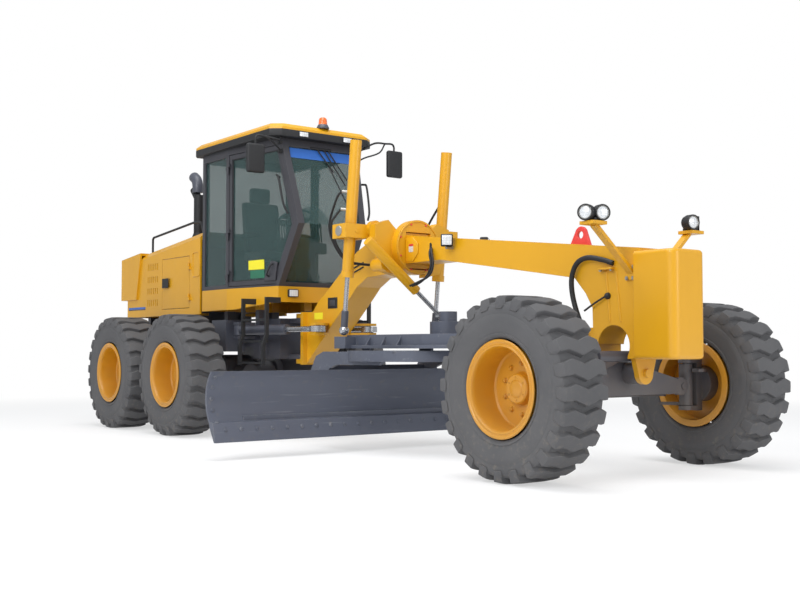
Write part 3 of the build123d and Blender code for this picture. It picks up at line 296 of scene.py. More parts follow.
def black_plastic():
    """Moulded plastic or hose rubber, with a fine leather grain."""
    f = Finish("black_moulding")
    leather, broad = f.cells(230.0), f.cloud(6, 4)
    soft, near_edge = f.rounded(0.003)
    tone = f.blend((broad * 0.9).held(), (24, 25, 28), (36, 37, 40))
    tone = f.blend((near_edge * 5).held() * 0.3, tone, (112, 112, 114))
    return f.done(Base_Color=tone, Roughness=(0.5 + broad * 0.2).held(),
                  Normal=f.relief(leather, 0.0006, soft))


def beacon_cover():
    """Ribbed orange cover of the beacon."""
    f = Finish("beacon_orange_ribbed")
    ribs, cloud = (f.z * 420).sine(), f.cloud(24, 3)
    tone = f.blend((ribs * 0.3 + 0.4).held(), (255, 128, 40), (214, 74, 10))
    return f.done(Base_Color=tone, Roughness=(0.18 + cloud * 0.15).held(), Coat_Weight=0.8,
                  Normal=f.relief(ribs, 0.0012))


yellow, yellow_shade = (222, 163, 14), (206, 149, 10)
finishes = {
    "body_yellow": painted("body_yellow_paint", yellow, yellow_shade, 0.34),
    "rim_yellow": painted("rim_yellow_paint", (208, 144, 10), (192, 130, 6), 0.3),
    "frame_grey": painted("frame_grey_paint", (74, 77, 88), (60, 62, 72), 0.42, dust=0.35),
    "blade_grey": blade_steel(),
    "cab_grey": painted("cab_grey_paint", (62, 62, 68), (48, 48, 54), 0.46, dust=0.1, coat=0.1),
    "black": black_plastic(),
    "tyre_rubber": tyre_rubber(),
    "chrome_rod": chromed(),
    "glazing": window_glass(),
    "seat_fabric": seat_cloth(),
    "red_paint": painted("red_eye_paint", (222, 66, 62), (200, 48, 46), 0.36),
    "beacon_orange": beacon_cover(),
    "bare_steel": bare_steel(),
    "lamp_glass": lamp_lens(),
    "lime_sign": painted("sign_yellow_film", (244, 232, 40), (232, 218, 30), 0.4, chips=0.2),
    "blue_paint": painted("blue_stripe_paint", (44, 104, 190), (34, 88, 168), 0.36, chips=0.3),
    "green_sign": painted("sign_green_film", (34, 112, 84), (26, 96, 70), 0.4, chips=0.2),
}

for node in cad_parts.values():
    for holder in node.material_slots:
        holder.material = finishes[holder.material.name.split(".")[0]]


# ---------------- making meshes
def easing(points):
    """A smooth line through places, as a list of places."""
    steps = 6                    # between one place and the next
    if len(points) < 3:
        return [Vector(p) for p in points]
    line = []
    padded = [points[0] * 2 - points[1], *points, points[-1] * 2 - points[-2]]
    for a, b, c, d in zip(padded, padded[1:], padded[2:], padded[3:]):
        for step in range(steps):
            t = step / steps
            line.append(0.5 * (b * 2 + (c - a) * t + (a * 2 - b * 5 + c * 4 - d) * t * t
                               + (b * 3 - a - c * 3 + d) * t ** 3))
    line.append(points[-1].copy())
    return line


class Form:
    """A piece in the making, built up of plates, bars, turned parts and tubes in place."""

    def __init__(self):
        self.mesh = bmesh.new()

    def skin(self, rings, capped=True):
        """Joins equal rings of places into a shell."""
        rows = [[self.mesh.verts.new(p) for p in ring] for ring in rings]
        count = len(rows[0])
        for low, high in zip(rows, rows[1:]):
            for i in range(count):
                j = (i + 1) % count
                self.mesh.faces.new((low[i], low[j], high[j], high[i]))
        if capped:
            self.mesh.faces.new(list(reversed(rows[0])))
            self.mesh.faces.new(rows[-1])
        return self

    def plate(self, outline, thickness):
        """A flat outline given a thickness, a vector."""
        return self.skin([outline, [p + thickness for p in outline]])

    def block(self, low, high):
        a, b = Vector(map(min, low, high)), Vector(map(max, low, high))
        outline = [Vector((a.x, a.y, a.z)), Vector((b.x, a.y, a.z)), Vector((b.x, b.y, a.z)),
                   Vector((a.x, b.y, a.z))]
        return self.plate(outline, Vector((0, 0, b.z - a.z)))

    def turned(self, profile, centre, axis, sides=48, capped=False):
        """A turned part: profile gives (along, radius) from the centre."""
        axis = Vector(axis).normalized()
        first = axis.orthogonal().normalized()
        second = axis.cross(first)
        rings = []
        for along, radius in profile:
            turns = [2 * math.pi * i / sides for i in range(sides)]
            rings.append([centre + axis * along + (first * math.cos(t) + second * math.sin(t)) * radius
                          for t in turns])
        return self.skin(rings, capped=capped)

    def bar(self, start, end, radius, sides=24):
        """A round bar with its ends a little eased."""
        length = (end - start).length
        ease = min(radius * 0.12, length / 3)
        profile = [(0, radius - ease), (ease, radius), (length - ease, radius), (length, radius - ease)]
        return self.turned(profile, start, end - start, sides, capped=True)

    def tube(self, points, radius, sides=12, smooth=True):
        """A bent tube or hose along places."""
        line = easing(points) if smooth else points
        rings, side = [], None
        for i, place in enumerate(line):
            along = (line[min(i + 1, len(line) - 1)] - line[max(i - 1, 0)]).normalized()
            if side is None:
                side = along.orthogonal().normalized()
            side = (side - along * side.dot(along)).normalized()
            other = along.cross(side)
            turns = [2 * math.pi * k / sides for k in range(sides)]
            rings.append([place + (side * math.cos(t) + other * math.sin(t)) * radius for t in turns])
        return self.skin(rings)

    def square_tube(self, start, end, wide, deep, up):
        """A square bar from start to end; wide lies across up."""
        along = (end - start).normalized()
        across = along.cross(up).normalized() * wide / 2
        height = across.cross(along).normalized() * deep / 2
        outline = [start + across + height, start - across + height, start - across - height,
                   start + across - height]
        return self.plate(outline, end - start)

    def dome(self, centre, axis, radius, height, sides=24):
        """A low domed cap with a flat foot."""
        profile, steps = [(0, radius)], 5
        for step in range(1, steps):
            turn = step / steps * math.pi / 2
            profile.append((height * math.sin(turn), radius * math.cos(turn)))
        profile.append((height, radius * 0.02))
        return self.turned(profile, centre, axis, sides, capped=True)

    def loose(self, name):
        """The form as an object of its own, with no body yet."""
        bmesh.ops.remove_doubles(self.mesh, verts=self.mesh.verts, dist=1e-6)
        bmesh.ops.recalc_face_normals(self.mesh, faces=self.mesh.faces)
        data = bpy.data.meshes.new(name)
        self.mesh.to_mesh(data)
        self.mesh.free()
        return placed(name, data)

    def piece(self, name, body, finish, bevel=0.003, nodes=(), steps=2):
        """Closes the form as a mesh, eases its edges and gives it its body and finish."""
        item = self.loose(name)
        if bevel:
            ease = item.modifiers.new("eased edges", "BEVEL")
            ease.width, ease.segments = bevel, steps
            ease.limit_method, ease.angle_limit = "ANGLE", math.radians(35)
            ease.use_clamp_overlap = True
            item = settled(item)
        return dressed(item, body, finish, nodes)


def placed(name, data):
    """A new object in the scene."""
    item = bpy.data.objects.new(name, data)
    bpy.context.scene.collection.objects.link(item)
    return item


def settled(item):
    """The object with its modifiers made part of its mesh."""
    seen = item.evaluated_get(bpy.context.evaluated_depsgraph_get())
    data = bpy.data.meshes.new_from_object(seen)
    item.modifiers.clear()
    item.data = data
    data.name = item.name
    return item


def dressed(item, body, finish, nodes=(), smooth=40):
    """Gives an object its finish and body, and hides the CAD nodes that it stands for."""
    item.data.materials.clear()
    item.data.materials.append(finishes[finish])
    item.data.shade_smooth()
    item.data.set_sharp_from_angle(angle=math.radians(smooth))
    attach(item, body)
    if nodes:
        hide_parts(*nodes)
    return item


# ---------------- trees that repeat a form
def new_tree(name, inputs):
    """A node tree with a mesh in, named sizes and a mesh out."""
    tree = bpy.data.node_groups.new(name, "GeometryNodeTree")
    tree.interface.new_socket("Form", in_out="INPUT", socket_type="NodeSocketGeometry")
    for title, kind, value in inputs:
        socket = tree.interface.new_socket(title, in_out="INPUT", socket_type=kind)
        socket.default_value = value
    tree.interface.new_socket("Finish", in_out="INPUT", socket_type="NodeSocketMaterial")
    tree.interface.new_socket("Form", in_out="OUTPUT", socket_type="NodeSocketGeometry")
    return tree, tree.nodes.new("NodeGroupInput").outputs


def grow(tree, kind, settings=None, **sockets):
    """A node with its settings, then its sockets: by name with _ for a space, or n and a number."""
    return new_node(tree, kind, settings, {
        int(name[1:]) if name[0] == "n" and name[1:].isdigit() else name.replace("_", " "): value
        for name, value in sockets.items()})


def close_tree(tree, instances, finish):
    real = grow(tree, "GeometryNodeRealizeInstances", Geometry=instances).outputs[0]
    real = grow(tree, "GeometryNodeSetMaterial", Geometry=real, Material=finish).outputs[0]
    tree.links.new(real, tree.nodes.new("NodeGroupOutput").inputs[0])
    return tree


def wheel_tree():
    """Repeats a form round the axle, which lies along y through the origin."""
    tree, given = new_tree("round_the_axle", [("Count", "NodeSocketInt", 24)])
    points = grow(tree, "GeometryNodeMeshLine", Count=given["Count"], Offset=(0, 0, 0)).outputs[0]
    index = grow(tree, "GeometryNodeInputIndex").outputs[0]
    share = grow(tree, "ShaderNodeMath", {"operation": "DIVIDE"}, n0=index, n1=given["Count"]).outputs[0]
    turn = grow(tree, "ShaderNodeMath", {"operation": "MULTIPLY"}, n0=share, n1=2 * math.pi).outputs[0]
    turns = grow(tree, "ShaderNodeCombineXYZ", Y=turn).outputs[0]
    copies = grow(tree, "GeometryNodeInstanceOnPoints", Points=points, Instance=given["Form"],
                  Rotation=turns).outputs[0]
    return close_tree(tree, copies, given["Finish"])


def bolt_tree():
    """Puts a hexagon head and its washer on every point, along the point's facing."""
    tree, given = new_tree("bolt_heads", [("Head_width", "NodeSocketFloat", 0.024),
                                          ("Head_height", "NodeSocketFloat", 0.012)])
    half, broad, low = (grow(tree, "ShaderNodeMath", {"operation": "MULTIPLY"}, n0=given[size],
                             n1=share).outputs[0]
                        for size, share in (("Head_width", 0.5), ("Head_width", 0.72), ("Head_height", 0.3)))
    joined = tree.nodes.new("GeometryNodeJoinGeometry")
    for corners, radius, depth in ((6, half, given["Head_height"]), (14, broad, low)):      # head, washer
        part = grow(tree, "GeometryNodeMeshCone", Vertices=corners, Radius_Bottom=radius, Radius_Top=radius,
                    Depth=depth)
        tree.links.new(part.outputs[0], joined.inputs[0])
    facing = grow(tree, "GeometryNodeInputNamedAttribute", {"data_type": "FLOAT_VECTOR"}, Name="facing")
    turn = grow(tree, "FunctionNodeAlignRotationToVector", {"axis": "Z"}, Vector=facing.outputs[0]).outputs[0]
    spin = grow(tree, "FunctionNodeRandomValue", {"data_type": "FLOAT"}, n2=0.0, n3=6.28, Seed=7).outputs[1]
    spins = grow(tree, "ShaderNodeCombineXYZ", Z=spin).outputs[0]
    turn = grow(tree, "FunctionNodeRotateRotation", {"rotation_space": "LOCAL"}, Rotation=turn,
                Rotate_By=spins).outputs[0]
    copies = grow(tree, "GeometryNodeInstanceOnPoints", Points=given["Form"], Instance=joined.outputs[0],
                  Rotation=turn).outputs[0]
    return close_tree(tree, copies, given["Finish"])


repeat_round, repeat_bolts = wheel_tree(), bolt_tree()


def repeated(item, tree, finish, **sizes):
    """The form after a tree has repeated it, as a plain mesh."""
    repeat = item.modifiers.new("repeat", "NODES")
    repeat.node_group = tree
    named = {socket.name: socket.identifier for socket in tree.interface.items_tree
             if socket.in_out == "INPUT"}
    for title, value in {"Finish": finishes[finish], **sizes}.items():
        repeat[named[title]] = value
    return settled(item)


def bolts(name, body, places, width, height, finish="bare_steel"):
    """Bolt heads on a body: places are (place, facing) pairs."""
    data = bpy.data.meshes.new(name)
    data.from_pydata([tuple(place) for place, _ in places], [], [])
    facing = data.attributes.new("facing", "FLOAT_VECTOR", "POINT")
    for entry, (_, way) in zip(facing.data, places):
        entry.vector = Vector(way).normalized()
    item = repeated(placed(name, data), repeat_bolts, finish, Head_width=width, Head_height=height)
    return dressed(item, body, finish)


# ---------------- wheels
sides = (("left", 1), ("right", -1))
wheel_rows = (("rear", 0.05), ("middle", 0.09), ("front", 0.02))      # (row, turn of its tread at rest)
tread_radius = 0.6735
groove_radius = 0.636
half_width = tyre_outer.y


def tyre_form():
    """The casing of a tyre about the origin: crown, ribbed sidewalls and beads."""
    half = half_width
    profile = [(0.03, 0.356), (0.12, 0.358), (half - 0.038, 0.360), (half - 0.030, 0.366),
               (half - 0.012, 0.386), (half - 0.009, 0.398), (half - 0.015, 0.402), (half - 0.006, 0.44),
               (half - 0.002, 0.49), (half - 0.001, 0.532), (half - 0.006, 0.540), (half - 0.004, 0.556),
               (half - 0.008, 0.583), (half - 0.016, 0.606), (half - 0.030, 0.624), (half - 0.075, 0.634),
               (0.06, groove_radius + 0.001)]
    whole = [(-along, radius) for along, radius in profile] + [(a, r) for a, r in reversed(profile)]
    return Form().turned(whole + [whole[0]], Vector((0, 0, 0)), (0, 1, 0), 96)


def lug_form():
    """One tread bar: a shallow arrow whose ends turn down over the shoulders."""
    stations = (                 # (across, lead of its middle, half its width, top, foot)
        (-1.000, -0.006, 0.034, 0.585, 0.575), (-0.985, -0.004, 0.040, 0.628, 0.590),
        (-0.925, 0.004, 0.046, 0.663, 0.612), (-0.780, 0.000, 0.051, 0.6705, 0.626),
        (-0.560, -0.012, 0.055, 0.6730, 0.630), (-0.300, 0.006, 0.057, 0.6735, 0.632),
        (0.000, 0.030, 0.058, 0.6735, 0.632),
    )
    stations += tuple((-a, b, c, d, e) for a, b, c, d, e in reversed(stations[:-1]))
    rings = []
    for across, lead, half, top, foot in stations:
        y = across * (half_width - 0.003)
        ring = []
        for along, radius in ((-half * 1.16, foot), (-half, top - 0.004), (-half * 0.9, top), (0, top),
                              (half * 0.9, top), (half, top - 0.004), (half * 1.16, foot)):
            turn = (lead + along) / tread_radius
            ring.append(Vector((radius * math.sin(turn), y, radius * math.cos(turn))))
        rings.append(ring)
    return Form().skin(rings)


def rim_form():
    """A deep dished rim about the origin, its open side towards +y."""
    lip = 0.2103
    profile = [(-0.045, 0.0), (-0.045, 0.3015), (-lip + 0.002, 0.3015), (-lip, 0.310), (-lip, 0.352),
               (-lip + 0.004, 0.356),
               (-0.198, 0.356), (-0.1953, 0.352), (-0.1953, 0.3175), (0.1953, 0.3175), (0.1953, 0.352),
               (0.199, 0.356), (lip - 0.006, 0.357), (lip, 0.350), (lip - 0.001, 0.338), (lip - 0.008, 0.330),
               (lip - 0.009, 0.322), (lip - 0.004, 0.317), (lip - 0.006, 0.308), (lip - 0.018, 0.3000),
               (lip - 0.045, 0.2965), (0.02, 0.291), (-0.010, 0.288), (-0.0225, 0.276), (-0.0245, 0.262),
               (-0.0245, 0.125), (-0.018, 0.118), (0.030, 0.110), (0.040, 0.100), (0.040, 0.066),
               (0.044, 0.062), (0.048, 0.052), (0.049, 0.0)]
    smallest = 0.0006            # keeps the ends of the profile off the axle's line
    return Form().turned([(a, max(r, smallest)) for a, r in profile], Vector((0, 0, 0)), (0, 1, 0), 72,
                         capped=True)


def nut_form(radius, foot, height, size):
    """A wheel nut on its own domed seat, at a radius from the axle."""
    profile = [(0, size * 1.25), (height * 0.2, size * 1.2), (height * 0.35, size), (height, size * 0.94),
               (height * 1.05, size * 0.5), (height * 1.3, size * 0.42)]
    return Form().turned(profile, Vector((0, foot, radius)), (0, 1, 0), 12, capped=True)


def merged(items, name):
    """Several plain objects joined as one mesh."""
    gathered = bmesh.new()
    for item in items:
        gathered.from_mesh(item.data)
        bpy.data.objects.remove(item)
    data = bpy.data.meshes.new(name)
    gathered.to_mesh(data)
    gathered.free()
    return data


def round_axle(form, name, finish, count):
    """A form repeated round the axle."""
    return repeated(form.loose(name), repeat_round, finish, Count=count)


tyre_mesh = merged([tyre_form().loose("casing"), round_axle(lug_form(), "bar", "tyre_rubber", 24)], "tyre")
rim_mesh = merged([rim_form().loose("dish"),
                   round_axle(nut_form(0.185, -0.026, 0.022, 0.016), "nut", "rim_yellow", 10),
                   round_axle(nut_form(0.082, 0.038, 0.006, 0.006), "cap_screw", "rim_yellow", 6)], "rim")
for row, tread_turn in wheel_rows:
    for side_name, side in sides:
        wheel = f"{row}_{side_name}"
        place = Matrix.Translation(middle(f"tyre_{wheel}"))
        turned_out = Matrix.Rotation(0 if side > 0 else math.pi, 4, "Z")
        spin = Matrix.Rotation(tread_turn, 4, "Y")
        # Only the rim turns to face out: both sides have the same tread.
        dressings = (("tyre", tyre_mesh, "tyre_rubber", Matrix.Identity(4), 38),
                     ("rim", rim_mesh, "rim_yellow", turned_out, 30))
        for part, source, finish, facing, smooth in dressings:
            data = source.copy()
            data.transform(place @ facing @ spin)
            dressed(placed(f"{part}_dressed_{wheel}", data), f"wheel_{wheel}", finish,
                    (f"{part}_{wheel}",), smooth)


# ---------------- helpers for placed details
def holed_plate(outline, hole, radius, near, far):
    """A plate from near y to far y with one round hole: outline and hole are (x, z) pairs."""
    steps = 48
    outer, inner = [], []
    for i in range(steps):
        turn = 2 * math.pi * i / steps
        ray = (math.cos(turn), math.sin(turn))
        reach = 1.0
        for (x0, z0), (x1, z1) in zip(outline, outline[1:] + outline[:1]):
            across = ray[0] * (z1 - z0) - ray[1] * (x1 - x0)
            if abs(across) < 1e-9:
                continue
            far_out = ((x0 - hole[0]) * (z1 - z0) - (z0 - hole[1]) * (x1 - x0)) / across
            along = ((x0 - hole[0]) * ray[1] - (z0 - hole[1]) * ray[0]) / across
            if far_out > 0 and -1e-6 <= along <= 1 + 1e-6:
                reach = min(reach, far_out)
        outer.append((hole[0] + ray[0] * reach, hole[1] + ray[1] * reach))
        inner.append((hole[0] + ray[0] * radius, hole[1] + ray[1] * radius))
    rings = [[at(x, y, z) for x, z in ring]
             for ring, y in ((outer, near), (inner, near), (inner, far), (outer, far), (outer, near))]
    return Form().skin(rings, capped=False)


def rectangle(x0, z0, x1, z1):
    """The corners of an upright oblong, as (x, z) pairs."""
    return [(x0, z0), (x1, z0), (x1, z1), (x0, z1)]


def flat(outline, y, thickness):
    """A plate on a side of the machine, drawn as (x, z) pairs."""
    return Form().plate([at(x, y, z) for x, z in outline], Vector((0, thickness, 0)))


def plates(body, *rows):
    """Plates on one body; a row is (name, outline, y, thickness, finish, bevel)."""
    for name, outline, y, thickness, finish, bevel in rows:
        flat(outline, y, thickness).piece(name, body, finish, bevel)


def hose(name, body, places, radius, sides=10, finish="black", bevel=0):
    """A hose, rail or rod along places, each given as for at()."""
    Form().tube([at(*place) for place in places], radius, sides).piece(name, body, finish, bevel)


def heading(degrees):
    """The level direction that is turned left from straight ahead."""
    return Vector((math.cos(math.radians(degrees)), math.sin(math.radians(degrees)), 0))


def square_lamp(name, body, back, way, wide, high, deep):
    """A square work lamp: its housing with a lens held in a frame."""
    up = Vector((0, 0, 1))
    way = way.normalized()
    Form().square_tube(back, back + way * deep, wide, high, up).piece(
        f"{name}_housing", body, "black", 0.012, steps=4)
    face = back + way * (deep - 0.002)
    Form().square_tube(face, face + way * 0.008, wide * 0.8, high * 0.8, up).piece(
        f"{name}_lens", body, "lamp_glass", 0.004, steps=3)


# ---------------- nose, beam and saddle
def beam_details():
    for name, side in sides:
        corners = rectangle(6.438, 1.498, 6.502, 1.582)
        bolts(f"lamp_arm_bolts_{name}", "front_body",
              [(at(x, side * 0.170, z), (0, side, 0)) for x, z in corners],
              0.022, 0.010)
        ribs = Form()
        for start, end in (((6.215, 1.565), (6.251, 1.170)), ((6.317, 1.560), (6.360, 1.170))):
            ribs.bar(at(start[0], side * 0.147, start[1]), at(end[0], side * 0.147, end[1]), 0.011)
        ribs.piece(f"pressed_ribs_{name}", "front_body", "body_yellow", 0)
        square_lamp(f"beam_lamp_{name}", "front_body", at(4.350, side * 0.205, 1.945), heading(side * 40),
                    0.110, 0.110, 0.075)
        Form().bar(at(4.37, side * 0.148, 1.880), at(4.37, side * 0.232, 1.880), 0.014).piece(
            f"beam_lamp_stud_{name}", "front_body", "bare_steel", 0)
        plate = [(3.680, 2.025), (3.790, 2.025), (3.868, 1.960), (3.868, 1.870), (3.790, 1.795),
                 (3.680, 1.795)]
        flat(plate, side * 0.149, side * 0.014).piece(
            f"beam_root_plate_{name}", "front_body", "body_yellow", 0.004)
    eye = [(5.690, 1.795), (5.932, 1.775), (5.872, 1.930), (5.850, 1.952), (5.822, 1.960), (5.794, 1.956),
           (5.768, 1.936)]
    holed_plate(eye, (5.815, 1.890), 0.030, -0.0125, 0.0125).piece(
        "lifting_eye", "front_body", "red_paint", 0.004)
    plates("front_body", ("blank_label", rectangle(3.735, 1.885, 3.800, 1.940), -0.162, -0.0025,
                          "lamp_glass", 0),
           ("label_strip", rectangle(3.735, 1.941, 3.800, 1.962), -0.162, -0.0025, "red_paint", 0))
    hose("axle_hose_cover", "front_body",
         [(6.300, -0.166, 1.622), (6.200, -0.185, 1.655), (6.060, -0.195, 1.678), (5.950, -0.195, 1.640),
          (5.890, -0.190, 1.540), (5.885, -0.185, 1.420), (5.920, -0.180, 1.280), (5.985, -0.175, 1.130),
          (6.020, -0.170, 1.060)], 0.021, 14)
    plates("front_body",
           ("hose_bracket", rectangle(6.165, 1.575, 6.305, 1.590), -0.149, -0.045, "body_yellow", 0.002))
    bolts("hose_bracket_bolts", "front_body", [(at(x, -0.180, 1.572), (0, 0, -1)) for x in (6.180, 6.290)],
          0.020, 0.010)
    Form().dome(at(6.233, -0.149, 1.372), (0, -1, 0), 0.028, 0.034).piece(
        "lock_knob", "front_body", "black", 0)
    hose("lock_rod", "front_body", [(6.233, -0.172, 1.372), (6.130, -0.182, 1.322), (6.018, -0.186, 1.262)],
         0.008)
    # hoses of the cylinder that shifts the circle
    slot = [(4.030, 1.885), (4.045, 1.870), (4.062, 1.872), (4.070, 1.890), (4.066, 1.940), (4.050, 1.955),
            (4.034, 1.948)]
    plates("front_body", ("hose_slot", slot, -0.1495, -0.0012, "black", 0))
    for number, spread in enumerate((0.0, 0.030)):
        hose(f"shift_hose_{number}", "front_body",
             [(4.048, -0.140, 1.915), (4.075 + spread, -0.185, 1.850), (4.115 + spread, -0.200, 1.740),
              (4.060 + spread, -0.205, 1.640), (3.940, -0.200 - spread, 1.580),
              (3.800, -0.170 - spread, 1.560)],
             0.011)
    caps = Form()
    for i in range(8):
        turn = 2 * math.pi * (i + 0.5) / 8
        caps.dome(at(3.678, 0.236 * math.cos(turn), 1.944 + 0.236 * math.sin(turn)), (1, 0, 0), 0.011, 0.008,
                  16)
    caps.piece("saddle_bolt_caps", "front_body", "red_paint", 0)
    rim = [(0.0, 0.262), (0.006, 0.260), (0.008, 0.252), (0.006, 0.246), (0.0, 0.244)]
    Form().turned(rim, at(3.677, 0, 1.944), (1, 0, 0), 72).piece("saddle_lip", "front_body", "body_yellow", 0)
    plates("front_body", ("neck_plate", rectangle(2.325, 1.385, 2.500, 1.500), -0.149, -0.006, "black",
                          0.002),
           ("neck_plate_face", rectangle(2.360, 1.412, 2.465, 1.474), -0.1545, -0.003, "cab_grey", 0.001),
           ("neck_sign", rectangle(2.060, 1.275, 2.225, 1.348), -0.150, -0.0015, "lime_sign", 0))
    for level in (0, 45):        # mm above the lower clip
        low, high = 1.735 + level / 1000, 1.790 + level / 1000
        clip = Form().square_tube(at(2.780, -0.152, low), at(2.972, -0.152, high), 0.014, 0.014,
                                  Vector((0, 0, 1)))
        clip.piece(f"neck_clip_{level}", "front_body", "black", 0.003)


def headlamps():
    housings, lenses, rings = Form(), Form(), Form()
    units = (((6.492, -0.520), -20), ((6.452, -0.610), -68), ((6.492, 0.520), -10), ((6.452, 0.610), 38))
    for (x, y), turn in units:
        way, centre = heading(turn), at(x, y, 1.965)
        housings.turned([(-0.050, 0.020), (-0.048, 0.038), (-0.036, 0.054), (-0.010, 0.062), (0.045, 0.062),
                         (0.054, 0.060), (0.054, 0.052), (0.040, 0.051), (0.038, 0.010)], centre, way, 40,
                        capped=True)
        rings.turned([(0.0385, 0.050), (0.050, 0.0505), (0.051, 0.048), (0.043, 0.044), (0.0385, 0.043)],
                     centre, way, 40)
        lenses.turned([(0.039, 0.046), (0.046, 0.044), (0.051, 0.032), (0.053, 0.016), (0.0535, 0.002)],
                      centre, way, 40, capped=True)
    for side in (-1, 1):
        housings.block(at(6.425, side * 0.520, 1.902), at(6.515, side * 0.600, 1.925))
    housings.piece("headlamp_housings", "front_body", "black", 0.002, ("headlamps",))
    rings.piece("headlamp_rings", "front_body", "bare_steel", 0)
    lenses.piece("headlamp_lenses", "front_body", "lamp_glass", 0)


# ---------------- lift cylinders
def lift_line(z):
    """How far forward the lift cylinders' line is at a height."""
    return 3.330 + (z - 2.090) * 200 / 1830


def lift_details():
    for name, side in sides:
        Form().bar(at(lift_line(1.130), side * 0.565, 1.130), at(lift_line(1.330), side * 0.565, 1.330),
                   0.035).piece(
            f"rod_sleeve_{name}", f"lift_rod_{name}", "frame_grey", 0)
        ports = Form()
        for z in (2.300, 2.470):
            x = lift_line(z)
            ports.bar(at(x - 0.02, side * 0.590, z), at(x - 0.075, side * 0.640, z + 0.01), 0.014, 12)
        ports.piece(f"lift_ports_{name}", f"lift_barrel_{name}", "bare_steel", 0)
        for number, (top, drift) in enumerate(((2.480, 0.0), (2.310, 0.035))):
            x = lift_line(top) - 0.075
            hose(f"lift_hose_{name}_{number}", "front_body",
                 [(x, side * 0.640, top), (x - 0.10, side * 0.635, top - 0.06),
                  (3.020 + drift, side * 0.600, 2.180),
                  (3.000 + drift, side * 0.520, 1.980), (3.020 + drift, side * 0.380, 1.830),
                  (3.080 + drift, side * 0.160, 1.800)], 0.012)
        Form().turned([(0, 0.050), (0.006, 0.050), (0.012, 0.046), (0.016, 0.030), (0.017, 0.001)],
                      at(3.330, side * 0.697, 2.090), (0, side, 0), 32, capped=True).piece(
            f"yoke_pin_cap_{name}", "front_body", "bare_steel", 0)


# ---------------- blade and drawbar
def on_face(node, start, way):
    """Where a line first meets a CAD node: the place and the way that its surface faces there."""
    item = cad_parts[node]
    back = item.matrix_world.inverted()
    hit, place, normal, _ = item.ray_cast(back @ start, (back.to_3x3() @ Vector(way)).normalized())
    if not hit:
        return None
    return item.matrix_world @ place, (item.matrix_world.to_3x3() @ normal).normalized()


def blade_details():
    """Bolts along the cutting edge and up both ends of the blade."""
    ahead = 4.4                  # in front of the blade, where each line starts back towards it
    starts = [(-2.02 + i * 4.04 / 26, 0.265) for i in range(27)]
    starts += [(side * 2.085, z) for side in (-1, 1) for z in (0.330, 0.430, 0.530, 0.630, 0.715)]
    found = [on_face("moldboard", at(ahead, y, z), (-1, 0, 0)) for y, z in starts]
    bolts("blade_bolts", "blade", [place for place in found if place], 0.028, 0.009, "blade_grey")


# ---------------- cab
door_sill, door_knee = 1.640, 2.290         # the foot of the door and the bend in its front edge
door_lower, door_upper = 0.650, 0.940       # the heights below and above the bend
post_x, post_y = 0.930, 0.600               # the post that carries the door


def door_line(z):
    """Where the cab's side meets the door's front edge at a height: x and y."""
    if z <= door_knee:
        share = (z - door_sill) / door_lower
        return 1.810 + share * 0.380, 0.450 - 0.015 * share
    share = (z - door_knee) / door_upper
    return 2.190 - share * 0.260, 0.435 + share * 0.065


def door_run(z):
    """The door's width at a height."""
    x, y = door_line(z)
    return math.hypot(x - post_x, post_y - y)


def door_place(side, along, out, z):
    """A place on the door: along it from the post, out of its face, at a height."""
    (x, y), run = door_line(z), door_run(z)
    ax, ay = (x - post_x) / run, (y - post_y) / run
    return at(post_x + ax * along - ay * out, side * (post_y + ay * along + ax * out), z)


def door_panel(side, outline, low, high):
    """A plate on the door, outline as (along, height), between two distances out of its face."""
    return Form().skin([[door_place(side, along, out, z) for along, z in outline] for out in (low, high)])


def windscreen_place(y, z, out):
    """A place ahead of the windscreen by out."""
    return at(door_line(z)[0] - 0.022 + out, y, z)


